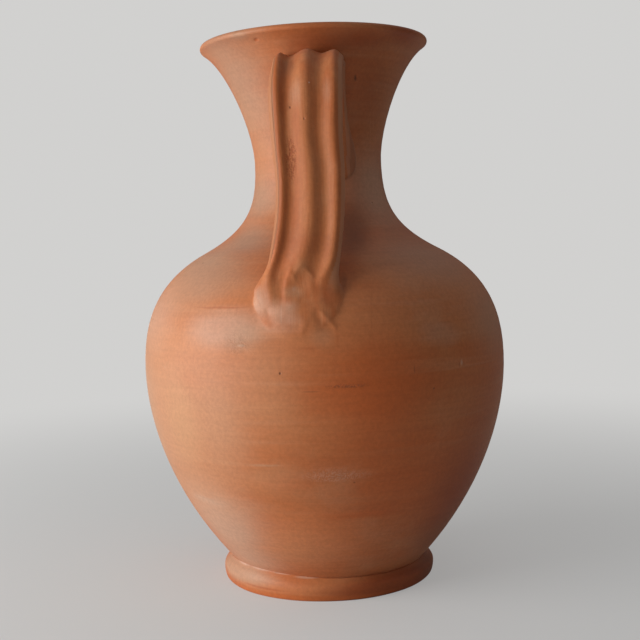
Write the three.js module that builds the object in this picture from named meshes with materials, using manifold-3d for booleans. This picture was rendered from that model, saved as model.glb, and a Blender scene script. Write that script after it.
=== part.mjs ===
// Terracotta amphora: a vessel thrown in sections on a foot ring, with two pulled strap handles.
// Millimetres, +Z up. The origin is on the table under the middle of the foot, and the handles
// stand out along -Y (front) and +Y (back).
// The potter's pieces are kept as separate solids: foot ring, lower body, upper body, neck,
// two straps, and the clay pressed round both ends of each strap.

import * as THREE from "three";
import { mergeVertices } from "three/addons/utils/BufferGeometryUtils.js";
import Module from "manifold-3d";

// Heights of the thrown form, each measured from the one before, from the table up
const seatHeight = 9; // the foot ring's seat, where the body stands
const bellyRise = 152; // to the widest line
const shoulderRise = 84; // to the turn of the shoulder into the neck
const collarRise = 66; // to the narrowest line of the neck
const flareRise = 87.6; // to the top of the lip

// Radii of the thrown form
const baseRadius = 67.9;
const bellyRadius = 135;
const turnRadius = 87.7;
const waistRadius = 47.5;
const lipRadius = 84.3;

// Slopes in degrees from level, and how far each curve runs along its end directions
const flankSlope = 47.2;
const flankPull = 84;
const bellyPull = 30;
const turnSlope = 27.8;
const shoulderPull = 46;
const collarPull = 38;
const waistPullDown = 31;
const waistPullUp = 24;
const lipSlope = 32.2;
const lipPull = 21.6;

// Walls, and the heights at which the sections were thrown and joined
const wall = 7;
const lipThickness = 5;
const floorThickness = 9;
const floorCornerRise = 5; // of the rounding between floor and wall
const floorCornerReach = 16;
const bellySeamDrop = 55; // below the widest line
const neckSeamDrop = 43; // below the narrowest line of the neck

// Foot ring
const creaseHeight = 14.5; // where its ledge meets the flank
const footRadius = 80;
const footBulgeHeight = 8.3; // of the widest line
const footSoleRadius = 79.2;
const footBoreRadius = 61;
const footEdgeHeight = 1.5; // of the worn edge round the sole
const footEdgeReach = 1.5;
const footSideSlope = 75; // degrees from level, above the worn edge
const footSidePull = 2;
const footLedgeSlope = 10; // degrees from level, where the ledge runs into the flank
const footLedgePull = 4;

// Strap handles: the line that each follows out of the neck, round its crook and down
const springDrop = 26; // lip top down to the strap's middle at the neck
const springRise = 2; // climb of the strap from the neck to its crook
const springStub = 6; // straight run out of the neck
const strapReach = 103; // from the axis to the strap's middle below the crook
const crookDrop = 27;
const crookPullOut = 0.66; // fullness of the crook, as shares of its reach and its drop
const crookPullDown = 0.6;
const strapSlope = 84; // degrees from level, below the crook
const rootHeight = 207; // where the strap runs out on the shoulder
const rootSink = 2.8; // depth of its middle under the shoulder there
const rootLean = 0; // degrees by which the strap's end is steeper than the shoulder under it
const dropPull = 55;
const rootPull = 38;

// Strap section
const strapWidth = 45.5; // at its narrowest
const strapWidthAtNeck = 50;
const strapWidthAtRoot = 61;
const taperSpan = [0.1, 0.6]; // where it narrows, as shares of its length from the neck
const spreadSpan = [0.76, 0.98]; // where it spreads again
const strapThickness = 6.4; // in the grooves
const ridgeHeight = 3.4;
const ridgePitch = 19.5;
const grooveFade = 30; // length over which the grooves fill up towards the root
const grooveLeft = 0.25; // share of their depth that is left there
const edgeSquareness = 6;
const driftAtNeck = 3.7; // sideways, towards +X on the front handle
const driftAtRoot = -5.5;

// Presses of the potter's thumb in the strap's lower end: across, up from the root, size, depth
const thumbDents = [
  { across: 0, up: 20, wide: 8, tall: 9, deep: 3.6 },
  { across: -15, up: 12, wide: 5, tall: 12, deep: 2.4 },
  { across: 14, up: 12, wide: 6, tall: 13, deep: 2.2 },
];

// Clay pressed round the strap's ends. Each outline is drawn on the vessel's surface about a middle
// point in line with the strap's end. Its sides go from the top down by how far they stand out
// past the strap's edge, and how far up from the middle they are.
const neckPad = {
  drop: 58, // from the strap's middle at the neck to the pad's middle
  sides: [[-8, 57], [-3, 48], [-0.5, 30], [4, 12], [10, -1], [5, -11], [-10, -15]],
  bottom: -16,
  crown: 3.2,
  edge: 0.9,
};
const rootPad = {
  drop: 3, // from the strap's root to the pad's middle
  cover: 7, // from where the strap leaves the shoulder to the pad's top
  shoulders: [[-7, -1], [3, -9]], // its upper corners, up from the pad's top
  sides: [[7, 3], [6, -7], [-5, -13], [-18, -17]],
  bottom: -18,
  crown: 4.4,
  edge: 0.9,
};
const padRounding = 1.5; // how fast a pad's dome falls to its edge
const padBury = 3; // how deep a pad starts under the surface before it is trimmed to it

// Clearance between a piece and the curved surface that it is pressed on
const luteGap = 0.3;

// Steps of the mesh
const roundSteps = 48;
const flankSteps = 10;
const shoulderSteps = 7;
const collarSteps = 9;
const flareSteps = 7;
const lipSteps = 6;
const cornerSteps = 4;
const footLowerSteps = 3;
const footUpperSteps = 5;
const stubSteps = 1;
const crookSteps = 9;
const dropSteps = 18;
const outerFaceSteps = 20;
const innerFaceSteps = 8;
const padRings = 5;
const padSpokes = 30;

const bellyHeight = seatHeight + bellyRise;
const turnHeight = bellyHeight + shoulderRise;
const waistHeight = turnHeight + collarRise;
const lipHeight = waistHeight + flareRise;
const bellySeamHeight = bellyHeight - bellySeamDrop;
const neckSeamHeight = waistHeight - neckSeamDrop;
const lipRound = lipThickness / 2;

const wasm = await Module();
wasm.setup();

const terracotta = new THREE.MeshStandardMaterial({ color: 0xb8704a, roughness: 0.86, metalness: 0 });
const strapClay = new THREE.MeshStandardMaterial({ color: 0xb56a43, roughness: 0.84, metalness: 0 });
const luteClay = new THREE.MeshStandardMaterial({ color: 0xbd7a58, roughness: 0.9, metalness: 0 });

function direction(degreesFromLevel) {
  const angle = THREE.MathUtils.degToRad(degreesFromLevel);
  return new THREE.Vector2(Math.cos(angle), Math.sin(angle));
}

// A curve from one point to another that leaves along one direction and arrives along the other
function sweepCurve(from, leaving, pullOut, to, arriving, pullIn) {
  return new THREE.CubicBezierCurve(
    from,
    from.clone().addScaledVector(leaving, pullOut),
    to.clone().addScaledVector(arriving, -pullIn),
    to,
  );
}

// The vessel's outer line, as points with their outward directions
function traceVessel() {
  const up = new THREE.Vector2(0, 1);
  const base = new THREE.Vector2(baseRadius, seatHeight);
  const belly = new THREE.Vector2(bellyRadius, bellyHeight);
  const turn = new THREE.Vector2(turnRadius, turnHeight);
  const waist = new THREE.Vector2(waistRadius, waistHeight);
  const inwards = direction(180 - turnSlope);
  const lipwards = direction(lipSlope);
  const lipEdge = lipCentre().addScaledVector(outwardOf(lipwards), lipRound);
  const curves = [
    [sweepCurve(base, direction(flankSlope), flankPull, belly, up, bellyPull), flankSteps],
    [sweepCurve(belly, up, bellyPull, turn, inwards, shoulderPull), shoulderSteps],
    [sweepCurve(turn, inwards, collarPull, waist, up, waistPullDown), collarSteps],
    [sweepCurve(waist, up, waistPullUp, lipEdge, lipwards, lipPull), flareSteps],
  ];
  const line = [];
  for (const [curve, steps] of curves) {
    for (let i = line.length ? 1 : 0; i <= steps; i++) {
      line.push({ at: curve.getPoint(i / steps), out: outwardOf(curve.getTangent(i / steps)) });
    }
  }
  return line;
}

function outwardOf(tangent) {
  return new THREE.Vector2(tangent.y, -tangent.x);
}

function lipCentre() {
  return new THREE.Vector2(lipRadius - lipRound, lipHeight - lipRound);
}

const vesselLine = traceVessel();

// The vessel's line moved outwards by a distance
function offsetLine(distance) {
  return vesselLine.map(({ at, out }) => at.clone().addScaledVector(out, distance));
}

// The inner line: the wall thins from the waist to the lip
function insideLine() {
  return vesselLine.map(({ at, out }) => {
    const thinning = THREE.MathUtils.smoothstep(at.y, waistHeight, lipHeight);
    return at.clone().addScaledVector(out, -THREE.MathUtils.lerp(wall, lipThickness, thinning));
  });
}

// The part of a rising line between two heights, cut exactly at both
function between(line, low, high) {
  const inside = line.filter((p) => p.y > low && p.y < high);
  const start = new THREE.Vector2(radiusAt(line, low), low);
  const end = new THREE.Vector2(radiusAt(line, high), high);
  return [start, ...inside, end];
}

function radiusAt(line, height) {
  const above = line.findIndex((p) => p.y >= height);
  const upper = line[Math.max(above, 1)];
  const lower = line[Math.max(above, 1) - 1];
  return lower.x + ((upper.x - lower.x) * (height - lower.y)) / (upper.y - lower.y);
}

const outerLine = offsetLine(0);
const innerLine = insideLine();

function revolve(profile) {
  const geometry = new THREE.LatheGeometry(profile, roundSteps);
  geometry.rotateX(Math.PI / 2);
  return geometry;
}

function arcPoints(centre, radius, fromDegrees, toDegrees, steps) {
  const from = THREE.MathUtils.degToRad(fromDegrees);
  const to = THREE.MathUtils.degToRad(toDegrees);
  const curve = new THREE.EllipseCurve(centre.x, centre.y, radius, radius, from, to, to < from);
  return curve.getPoints(steps);
}

// Foot ring: a flat sole, a rounded outer band, a ledge, and the seat that the body stands in
function footRing() {
  const up = new THREE.Vector2(0, 1);
  const edge = new THREE.Vector2(footSoleRadius, footEdgeHeight);
  const bulge = new THREE.Vector2(footRadius, footBulgeHeight);
  const ledge = new THREE.Vector2(radiusAt(outerLine, creaseHeight) + luteGap, creaseHeight);
  const inwards = direction(180 - footLedgeSlope);
  const lower = sweepCurve(edge, direction(footSideSlope), footSidePull, bulge, up, footSidePull);
  const upper = sweepCurve(bulge, up, footLedgePull, ledge, inwards, footLedgePull);
  return revolve([
    new THREE.Vector2(footBoreRadius, 0),
    new THREE.Vector2(footSoleRadius - footEdgeReach, 0),
    ...lower.getPoints(footLowerSteps),
    ...upper.getPoints(footUpperSteps).slice(1),
    new THREE.Vector2(radiusAt(outerLine, seatHeight) + luteGap, seatHeight),
    new THREE.Vector2(footBoreRadius, seatHeight),
    new THREE.Vector2(footBoreRadius, 0),
  ]);
}

// Lower body: the bowl with the floor, from the seat to the belly seam
function lowerBody() {
  const floorTop = seatHeight + floorThickness;
  const cornerTop = floorTop + floorCornerRise;
  const outer = between(outerLine, seatHeight, bellySeamHeight);
  const inner = between(innerLine, cornerTop, bellySeamHeight).reverse();
  const corner = new THREE.QuadraticBezierCurve(
    new THREE.Vector2(radiusAt(innerLine, cornerTop), cornerTop),
    new THREE.Vector2(radiusAt(innerLine, floorTop), floorTop),
    new THREE.Vector2(radiusAt(innerLine, floorTop) - floorCornerReach, floorTop),
  );
  return revolve([
    new THREE.Vector2(0, seatHeight),
    ...outer,
    ...inner,
    ...corner.getPoints(cornerSteps).slice(1),
    new THREE.Vector2(0, floorTop),
  ]);
}

// Upper body: the belly and shoulder, open at both seams
function upperBody() {
  const outer = between(outerLine, bellySeamHeight, neckSeamHeight);
  const inner = between(innerLine, bellySeamHeight, neckSeamHeight).reverse();
  return revolve([...outer, ...inner, outer[0]]);
}

// Neck: from the shoulder seam through the waist and the flare to the rounded lip
function neck() {
  const outer = between(outerLine, neckSeamHeight, outerLine[outerLine.length - 1].y);
  const inner = between(innerLine, neckSeamHeight, innerLine[innerLine.length - 1].y).reverse();
  const lip = arcPoints(lipCentre(), lipRound, lipSlope - 90, lipSlope + 90, lipSteps);
  return revolve([...outer, ...lip.slice(1, -1), ...inner, outer[0]]);
}

// A closed geometry as a solid that can be cut and joined
function toSolid(geometry) {
  const bare = geometry.clone();
  bare.deleteAttribute("normal");
  bare.deleteAttribute("uv");
  const merged = mergeVertices(bare, 1e-4);
  return new wasm.Manifold(
    new wasm.Mesh({
      numProp: 3,
      vertProperties: merged.attributes.position.array,
      triVerts: new Uint32Array(merged.index.array),
    }),
  );
}

function toGeometry(solid) {
  const { vertProperties, triVerts } = solid.getMesh();
  const geometry = new THREE.BufferGeometry();
  geometry.setAttribute("position", new THREE.BufferAttribute(vertProperties, 3));
  geometry.setIndex(new THREE.BufferAttribute(triVerts, 1));
  geometry.computeVertexNormals();
  return geometry;
}

// A closed skin over rings of equally many points, with both ends capped
function loft(rings) {
  const count = rings[0].length;
  const positions = rings.flat().flatMap((p) => [p.x, p.y, p.z]);
  const faces = [];
  for (let r = 0; r < rings.length - 1; r++) {
    for (let i = 0; i < count; i++) {
      const a = r * count + i;
      const b = r * count + ((i + 1) % count);
      faces.push(a, b, b + count, a, b + count, a + count);
    }
  }
  const last = (rings.length - 1) * count;
  for (const [a, b, c] of capFaces(rings[0])) faces.push(a, c, b);
  for (const [a, b, c] of capFaces(rings[rings.length - 1])) faces.push(last + a, last + b, last + c);
  const geometry = new THREE.BufferGeometry();
  geometry.setAttribute("position", new THREE.Float32BufferAttribute(positions, 3));
  geometry.setIndex(faces);
  return geometry;
}

// Triangles across a ring that lies in a plane through the X direction
function capFaces(ring) {
  const middle = ring.reduce((sum, p) => sum.add(p), new THREE.Vector3()).divideScalar(ring.length);
  const normal = new THREE.Vector3();
  ring.forEach((p, i) => {
    const next = ring[(i + 1) % ring.length];
    normal.add(p.clone().sub(middle).cross(next.clone().sub(middle)));
  });
  normal.normalize();
  const across = new THREE.Vector3(1, 0, 0);
  const upright = normal.clone().cross(across).normalize();
  const flat = ring.map((p) => {
    const arm = p.clone().sub(middle);
    return new THREE.Vector2(arm.dot(across), arm.dot(upright));
  });
  return THREE.ShapeUtils.triangulateShape(flat, []);
}

// The strap's middle line in the plane of the handle: x is the distance from the axis, y the height
function strapCurves() {
  const springHeight = lipHeight - springDrop;
  const neckFace = radiusAt(outerLine, springHeight);
  const start = new THREE.Vector2(neckFace - wall, springHeight);
  const spring = new THREE.Vector2(neckFace + springStub, springHeight + springRise);
  const crook = new THREE.Vector2(strapReach, spring.y - crookDrop);
  const root = new THREE.Vector2(radiusAt(outerLine, rootHeight) - rootSink, rootHeight);
  const leaving = spring.clone().sub(start).normalize();
  const down = direction(-strapSlope);
  const lean = THREE.MathUtils.degToRad(rootLean);
  const { out } = surfaceAt(rootHeight);
  const shoulderwards = new THREE.Vector2(out.y, -out.x).rotateAround(new THREE.Vector2(), -lean);
  const outPull = (crook.x - spring.x) * crookPullOut;
  const downPull = crookDrop * crookPullDown;
  return [
    [new THREE.LineCurve(start, spring), stubSteps],
    [sweepCurve(spring, leaving, outPull, crook, down, downPull), crookSteps],
    [sweepCurve(crook, down, dropPull, root, shoulderwards, rootPull), dropSteps],
  ];
}

// Stations along the strap, each with its direction and its distances from both ends
function strapLine() {
  const stations = [];
  let along = 0;
  for (const [curve, steps] of strapCurves()) {
    for (let i = stations.length ? 1 : 0; i <= steps; i++) {
      const at = curve.getPoint(i / steps);
      along += stations.length ? at.distanceTo(stations[stations.length - 1].at) : 0;
      stations.push({ at, along, tangent: curve.getTangent(i / steps) });
    }
  }
  return stations.map((station) => ({ ...station, share: station.along / along, left: along - station.along }));
}

// The strap's half width at a share of its length: it tapers from the neck and spreads at the root
function strapHalfWidth(share) {
  const taper = 1 - THREE.MathUtils.smoothstep(share, ...taperSpan);
  const spread = THREE.MathUtils.smoothstep(share, ...spreadSpan);
  const extra = (strapWidthAtNeck - strapWidth) * taper + (strapWidthAtRoot - strapWidth) * spread;
  return (strapWidth + extra) / 2;
}

// One ring of the strap: two grooves between three ridges on the outer face, a plain inner face,
// and rounded edges
function strapRing(station, grow, cover) {
  const half = strapHalfWidth(station.share);
  const drift = driftAtNeck * (1 - station.share) ** 2 + driftAtRoot * station.share ** 4;
  const sideRidge = (ridgePitch * 2) / strapWidth; // place of an outer ridge as a share of the half width
  const grooving = THREE.MathUtils.lerp(grooveLeft, 1, THREE.MathUtils.smoothstep(station.left, 0, grooveFade));
  const outwards = new THREE.Vector2(-station.tangent.y, station.tangent.x);
  const pointAt = (share, depth) => {
    const at = station.at.clone().addScaledVector(outwards, depth);
    return new THREE.Vector3(drift + share * (half + grow), -at.x, at.y);
  };
  const faceShare = (i, steps) => Math.sin((Math.PI / 2) * ((2 * i) / steps - 1));
  const edge = (share) => Math.sqrt(1 - Math.abs(share) ** edgeSquareness);
  const ring = [];
  for (let i = 0; i < outerFaceSteps; i++) {
    const share = faceShare(i, outerFaceSteps);
    const groove = (ridgeHeight * grooving * (1 - Math.cos((2 * Math.PI * share) / sideRidge))) / 2;
    const dents = thumbDents.reduce((sum, dent) => {
      const across = (share * half - dent.across) / dent.wide;
      const up = (station.left - dent.up) / dent.tall;
      return sum + dent.deep * Math.exp(-(across ** 2) - up ** 2);
    }, 0);
    const crest = strapThickness / 2 + ridgeHeight;
    ring.push(pointAt(share, edge(share) * (crest + grow + (cover || -groove - dents))));
  }
  for (let i = innerFaceSteps; i > 0; i--) {
    const share = faceShare(i, innerFaceSteps);
    ring.push(pointAt(share, -edge(share) * (strapThickness / 2 + grow)));
  }
  return ring.reverse();
}

// The strap, or with a clearance and a cover the space that it needs in the clay pressed round it
function strapSolid(grow = 0, cover = 0) {
  return toSolid(loft(strapLine().map((station) => strapRing(station, grow, cover))));
}

// A patch of clay on the vessel: domed outside, and buried inside, to be trimmed to the surface.
// Its sides are points at the right of its middle, from the top down.
function padSolid(pad, middle, top, sides) {
  const right = [[0, top], ...sides, [0, pad.bottom]].map(([across, up]) => new THREE.Vector3(across, up, 0));
  const left = right.slice(1, -1).reverse().map((p) => new THREE.Vector3(-p.x, p.y, 0));
  const outline = new THREE.CatmullRomCurve3([...right, ...left], true, "centripetal");
  const edge = outline.getSpacedPoints(padSpokes);
  const skin = (spread, spoke, buried) => {
    const { at, out } = surfaceAt(middle.height + spread * edge[spoke].y);
    const lift = buried ? -padBury : pad.edge + (pad.crown - pad.edge) * (1 - spread ** 2) ** padRounding;
    const turn = (middle.drift + spread * edge[spoke].x) / at.x;
    const point = at.clone().addScaledVector(out, lift);
    return new THREE.Vector3(point.x * Math.sin(turn), -point.x * Math.cos(turn), point.y);
  };
  const ring = (r, buried) => spokesOf((spoke) => skin(r / padRings, spoke, buried));
  const rings = [[skin(0, 0, false)]];
  for (let r = 1; r <= padRings; r++) rings.push(ring(r, false));
  for (let r = padRings; r > 0; r--) rings.push(ring(r, true));
  rings.push([skin(0, 0, true)]);
  return toSolid(dome(rings));
}

// Clay under the strap's upper end, from inside the strap down the neck
function neckPadSolid() {
  const middle = { height: lipHeight - springDrop - neckPad.drop, drift: driftAtNeck };
  const sides = neckPad.sides.map(([past, up]) => [strapWidthAtNeck / 2 + past, up]);
  return padSolid(neckPad, middle, neckPad.drop, sides);
}

// Clay all round the strap's lower end, up past the height where the strap leaves the shoulder
function rootPadSolid() {
  const middle = { height: rootHeight - rootPad.drop, drift: driftAtRoot };
  const top = strapLeavingHeight() + rootPad.cover - middle.height;
  const corners = rootPad.shoulders.map(([past, up]) => [strapWidthAtRoot / 2 + past, top + up]);
  const sides = rootPad.sides.map(([past, up]) => [strapWidthAtRoot / 2 + past, up]);
  return padSolid(rootPad, middle, top, [...corners, ...sides]);
}

// The height at which the strap's inner face comes clear of the shoulder
function strapLeavingHeight() {
  const inner = strapLine().map(({ at, tangent }) => {
    const inwards = new THREE.Vector2(tangent.y, -tangent.x);
    return at.clone().addScaledVector(inwards, strapThickness / 2);
  });
  const lastClear = inner.findLast((p) => p.x > radiusAt(outerLine, p.y));
  return lastClear.y;
}

function spokesOf(make) {
  return Array.from({ length: padSpokes }, (_, spoke) => make(spoke));
}

// The vessel's surface at a height, with its outward direction
function surfaceAt(height) {
  const above = vesselLine.findIndex(({ at }) => at.y >= height);
  const upper = vesselLine[Math.max(above, 1)];
  const lower = vesselLine[Math.max(above, 1) - 1];
  const share = (height - lower.at.y) / (upper.at.y - lower.at.y);
  const at = lower.at.clone().lerp(upper.at, share);
  const out = lower.out.clone().lerp(upper.out, share).normalize();
  return { at, out };
}

// A closed skin over rings that start and end in a single point
function dome(rings) {
  const starts = [];
  const positions = [];
  for (const ring of rings) {
    starts.push(positions.length / 3);
    for (const p of ring) positions.push(p.x, p.y, p.z);
  }
  const faces = [];
  for (let r = 0; r < rings.length - 1; r++) {
    for (let s = 0; s < padSpokes; s++) {
      const next = (s + 1) % padSpokes;
      const a = starts[r] + (rings[r].length > 1 ? s : 0);
      const b = starts[r] + (rings[r].length > 1 ? next : 0);
      const c = starts[r + 1] + (rings[r + 1].length > 1 ? next : 0);
      const d = starts[r + 1] + (rings[r + 1].length > 1 ? s : 0);
      if (a !== b) faces.push(a, b, c);
      if (c !== d) faces.push(a, c, d);
    }
  }
  const geometry = new THREE.BufferGeometry();
  geometry.setAttribute("position", new THREE.Float32BufferAttribute(positions, 3));
  geometry.setIndex(faces);
  return geometry;
}

// The full round of the vessel with no hollow, a little larger, which trims what is pressed on it
function vesselCore() {
  const line = offsetLine(luteGap);
  const top = new THREE.Vector2(lipRadius, lipHeight + luteGap);
  return toSolid(revolve([new THREE.Vector2(0, line[0].y), ...line, top, new THREE.Vector2(0, top.y)]));
}

function namedMesh(name, geometry, material) {
  const mesh = new THREE.Mesh(geometry, material);
  mesh.name = name;
  return mesh;
}

// A handle with the clay pressed round its ends, standing out along -Y
function handle(side) {
  const core = vesselCore();
  const strapSpace = strapSolid(luteGap, rootPad.crown);
  const strap = strapSolid().subtract(core);
  const upper = neckPadSolid().subtract(core).subtract(strapSpace);
  const lower = rootPadSolid().subtract(core).subtract(strapSpace);
  const group = new THREE.Group();
  group.add(namedMesh(`${side}_handle_strap`, toGeometry(strap), strapClay));
  group.add(namedMesh(`${side}_handle_neck_pad`, toGeometry(upper), luteClay));
  group.add(namedMesh(`${side}_handle_root_pad`, toGeometry(lower), luteClay));
  return group;
}

const amphora = new THREE.Group();
amphora.add(namedMesh("foot_ring", footRing(), terracotta));
amphora.add(namedMesh("lower_body", lowerBody(), terracotta));
amphora.add(namedMesh("upper_body", upperBody(), terracotta));
amphora.add(namedMesh("neck", neck(), terracotta));
amphora.add(handle("front"));
const backHandle = handle("back");
backHandle.rotation.z = Math.PI;
amphora.add(backHandle);

export default amphora;
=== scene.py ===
"""Dresses the terracotta amphora: the foot ring, the thrown body and neck, and two pulled strap handles.

Shapes are worked out in millimetres, in the frame of the CAD part, and written out in metres.
"""

import logging
import math
from dataclasses import dataclass
from enum import Enum
from functools import cached_property
from typing import ClassVar, NamedTuple

import bmesh
import bpy
import numpy as np
from mathutils import Euler, Matrix, Vector


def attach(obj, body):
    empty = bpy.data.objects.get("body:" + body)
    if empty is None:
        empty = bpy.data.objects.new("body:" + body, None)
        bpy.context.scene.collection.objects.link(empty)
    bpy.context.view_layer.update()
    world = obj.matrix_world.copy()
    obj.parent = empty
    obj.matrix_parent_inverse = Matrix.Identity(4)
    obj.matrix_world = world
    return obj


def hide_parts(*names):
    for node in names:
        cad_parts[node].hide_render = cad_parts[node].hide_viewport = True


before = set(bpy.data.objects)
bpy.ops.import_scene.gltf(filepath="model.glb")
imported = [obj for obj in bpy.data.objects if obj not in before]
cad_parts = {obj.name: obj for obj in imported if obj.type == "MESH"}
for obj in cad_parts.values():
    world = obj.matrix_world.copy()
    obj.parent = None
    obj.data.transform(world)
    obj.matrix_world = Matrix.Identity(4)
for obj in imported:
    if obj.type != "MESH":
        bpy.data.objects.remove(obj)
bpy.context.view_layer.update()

MILLIMETRE = 0.001
FULL_TURN = 2 * math.pi
ORIGIN = (0.0, 0.0, 0.0)
UPWARDS = (0.0, 0.0, 1.0)
MERGE_GAP = 1e-4
LEVEL_GUARD = 1e-9
LOWER_SEAM = 106.0
UPPER_SEAM = 268.0

log = logging.getLogger("amphora")

Array = np.ndarray
Socket = bpy.types.NodeSocket
Items = bpy.types.bpy_prop_collection
Pair = tuple[float, float]
Place = tuple[float, float, float]
Colour = Place


class Slot(Enum):
    """Material slots of the part, one for each way in which clay was worked. The pieces built here don't take
    them.
    """

    THROWN = "thrown_terracotta"
    STRAP = "strap_terracotta"


class Side(Enum):
    """The side of the vessel that a handle stands on, with its turn about the upright axis in degrees."""

    FRONT = 0
    BACK = 180


def smoothstep(values: Array, low: float, high: float) -> Array:
    """Eases numbers from 0 at low to 1 at high."""
    share = np.clip((values - low) / (high - low), 0.0, 1.0)
    return share * share * (3.0 - 2.0 * share)


def heading(degrees_from_level: float) -> Array:
    """Gives the direction, in the plane of radius and height, that rises by an angle."""
    angle = math.radians(degrees_from_level)
    return np.array([math.cos(angle), math.sin(angle)])


def bezier(start: Array, pull: Array, push: Array, end: Array, count: int) -> Array:
    """Samples a cubic curve.

    Args:
        start: First point.
        pull: Handle of the first point.
        push: Handle of the last point.
        end: Last point.
        count: Number of samples, both ends included.

    Returns:
        The samples, one to a row.
    """
    t = np.linspace(0.0, 1.0, count)[:, None]
    near, far = 1.0 - t, t
    return near**3 * start + 3 * near**2 * far * pull + 3 * near * far**2 * push + far**3 * end


def chain(spans: list[Array]) -> Array:
    """Joins spans that each start where the last one ends."""
    return np.vstack([spans[0]] + [span[1:] for span in spans[1:]])


def unit(vectors: Array) -> Array:
    """Scales each row to length one."""
    return vectors / np.linalg.norm(vectors, axis=1)[:, None]


def read_rows(items: Items, label: str) -> Array:
    """Reads one vector of each item of a mesh.

    Args:
        items: The mesh's vertices or their normals.
        label: Name of the vector.

    Returns:
        The vectors, one to a row.
    """
    flat = np.empty(len(items) * 3)
    items.foreach_get(label, flat)
    return flat.reshape(-1, 3)


def read_points(mesh: bpy.types.Mesh) -> Array:
    """Reads a mesh's vertex positions, one to a row."""
    return read_rows(mesh.vertices, "co")


def write_points(mesh: bpy.types.Mesh, points: Array) -> None:
    """Writes vertex positions back to a mesh."""
    mesh.vertices.foreach_set("co", points.ravel())
    mesh.update()


def read_normals(mesh: bpy.types.Mesh) -> Array:
    """Reads a mesh's vertex normals, one to a row."""
    return read_rows(mesh.vertex_normals, "vector")


def link_object(name: str, data: bpy.types.ID) -> bpy.types.Object:
    """Puts a mesh, a lamp or a camera in the scene as an object at the origin.

    Args:
        name: Name of the object.
        data: The mesh, the lamp or the camera.

    Returns:
        The object.
    """
    made = bpy.data.objects.new(name, data)
    bpy.context.scene.collection.objects.link(made)
    return made


def shade_smooth(mesh: bpy.types.Mesh, crease_degrees: float) -> None:
    """Shades a mesh smooth, but keeps the edges sharp that bend by more than an angle."""
    mesh.shade_smooth()
    mesh.set_sharp_from_angle(angle=math.radians(crease_degrees))


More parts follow.
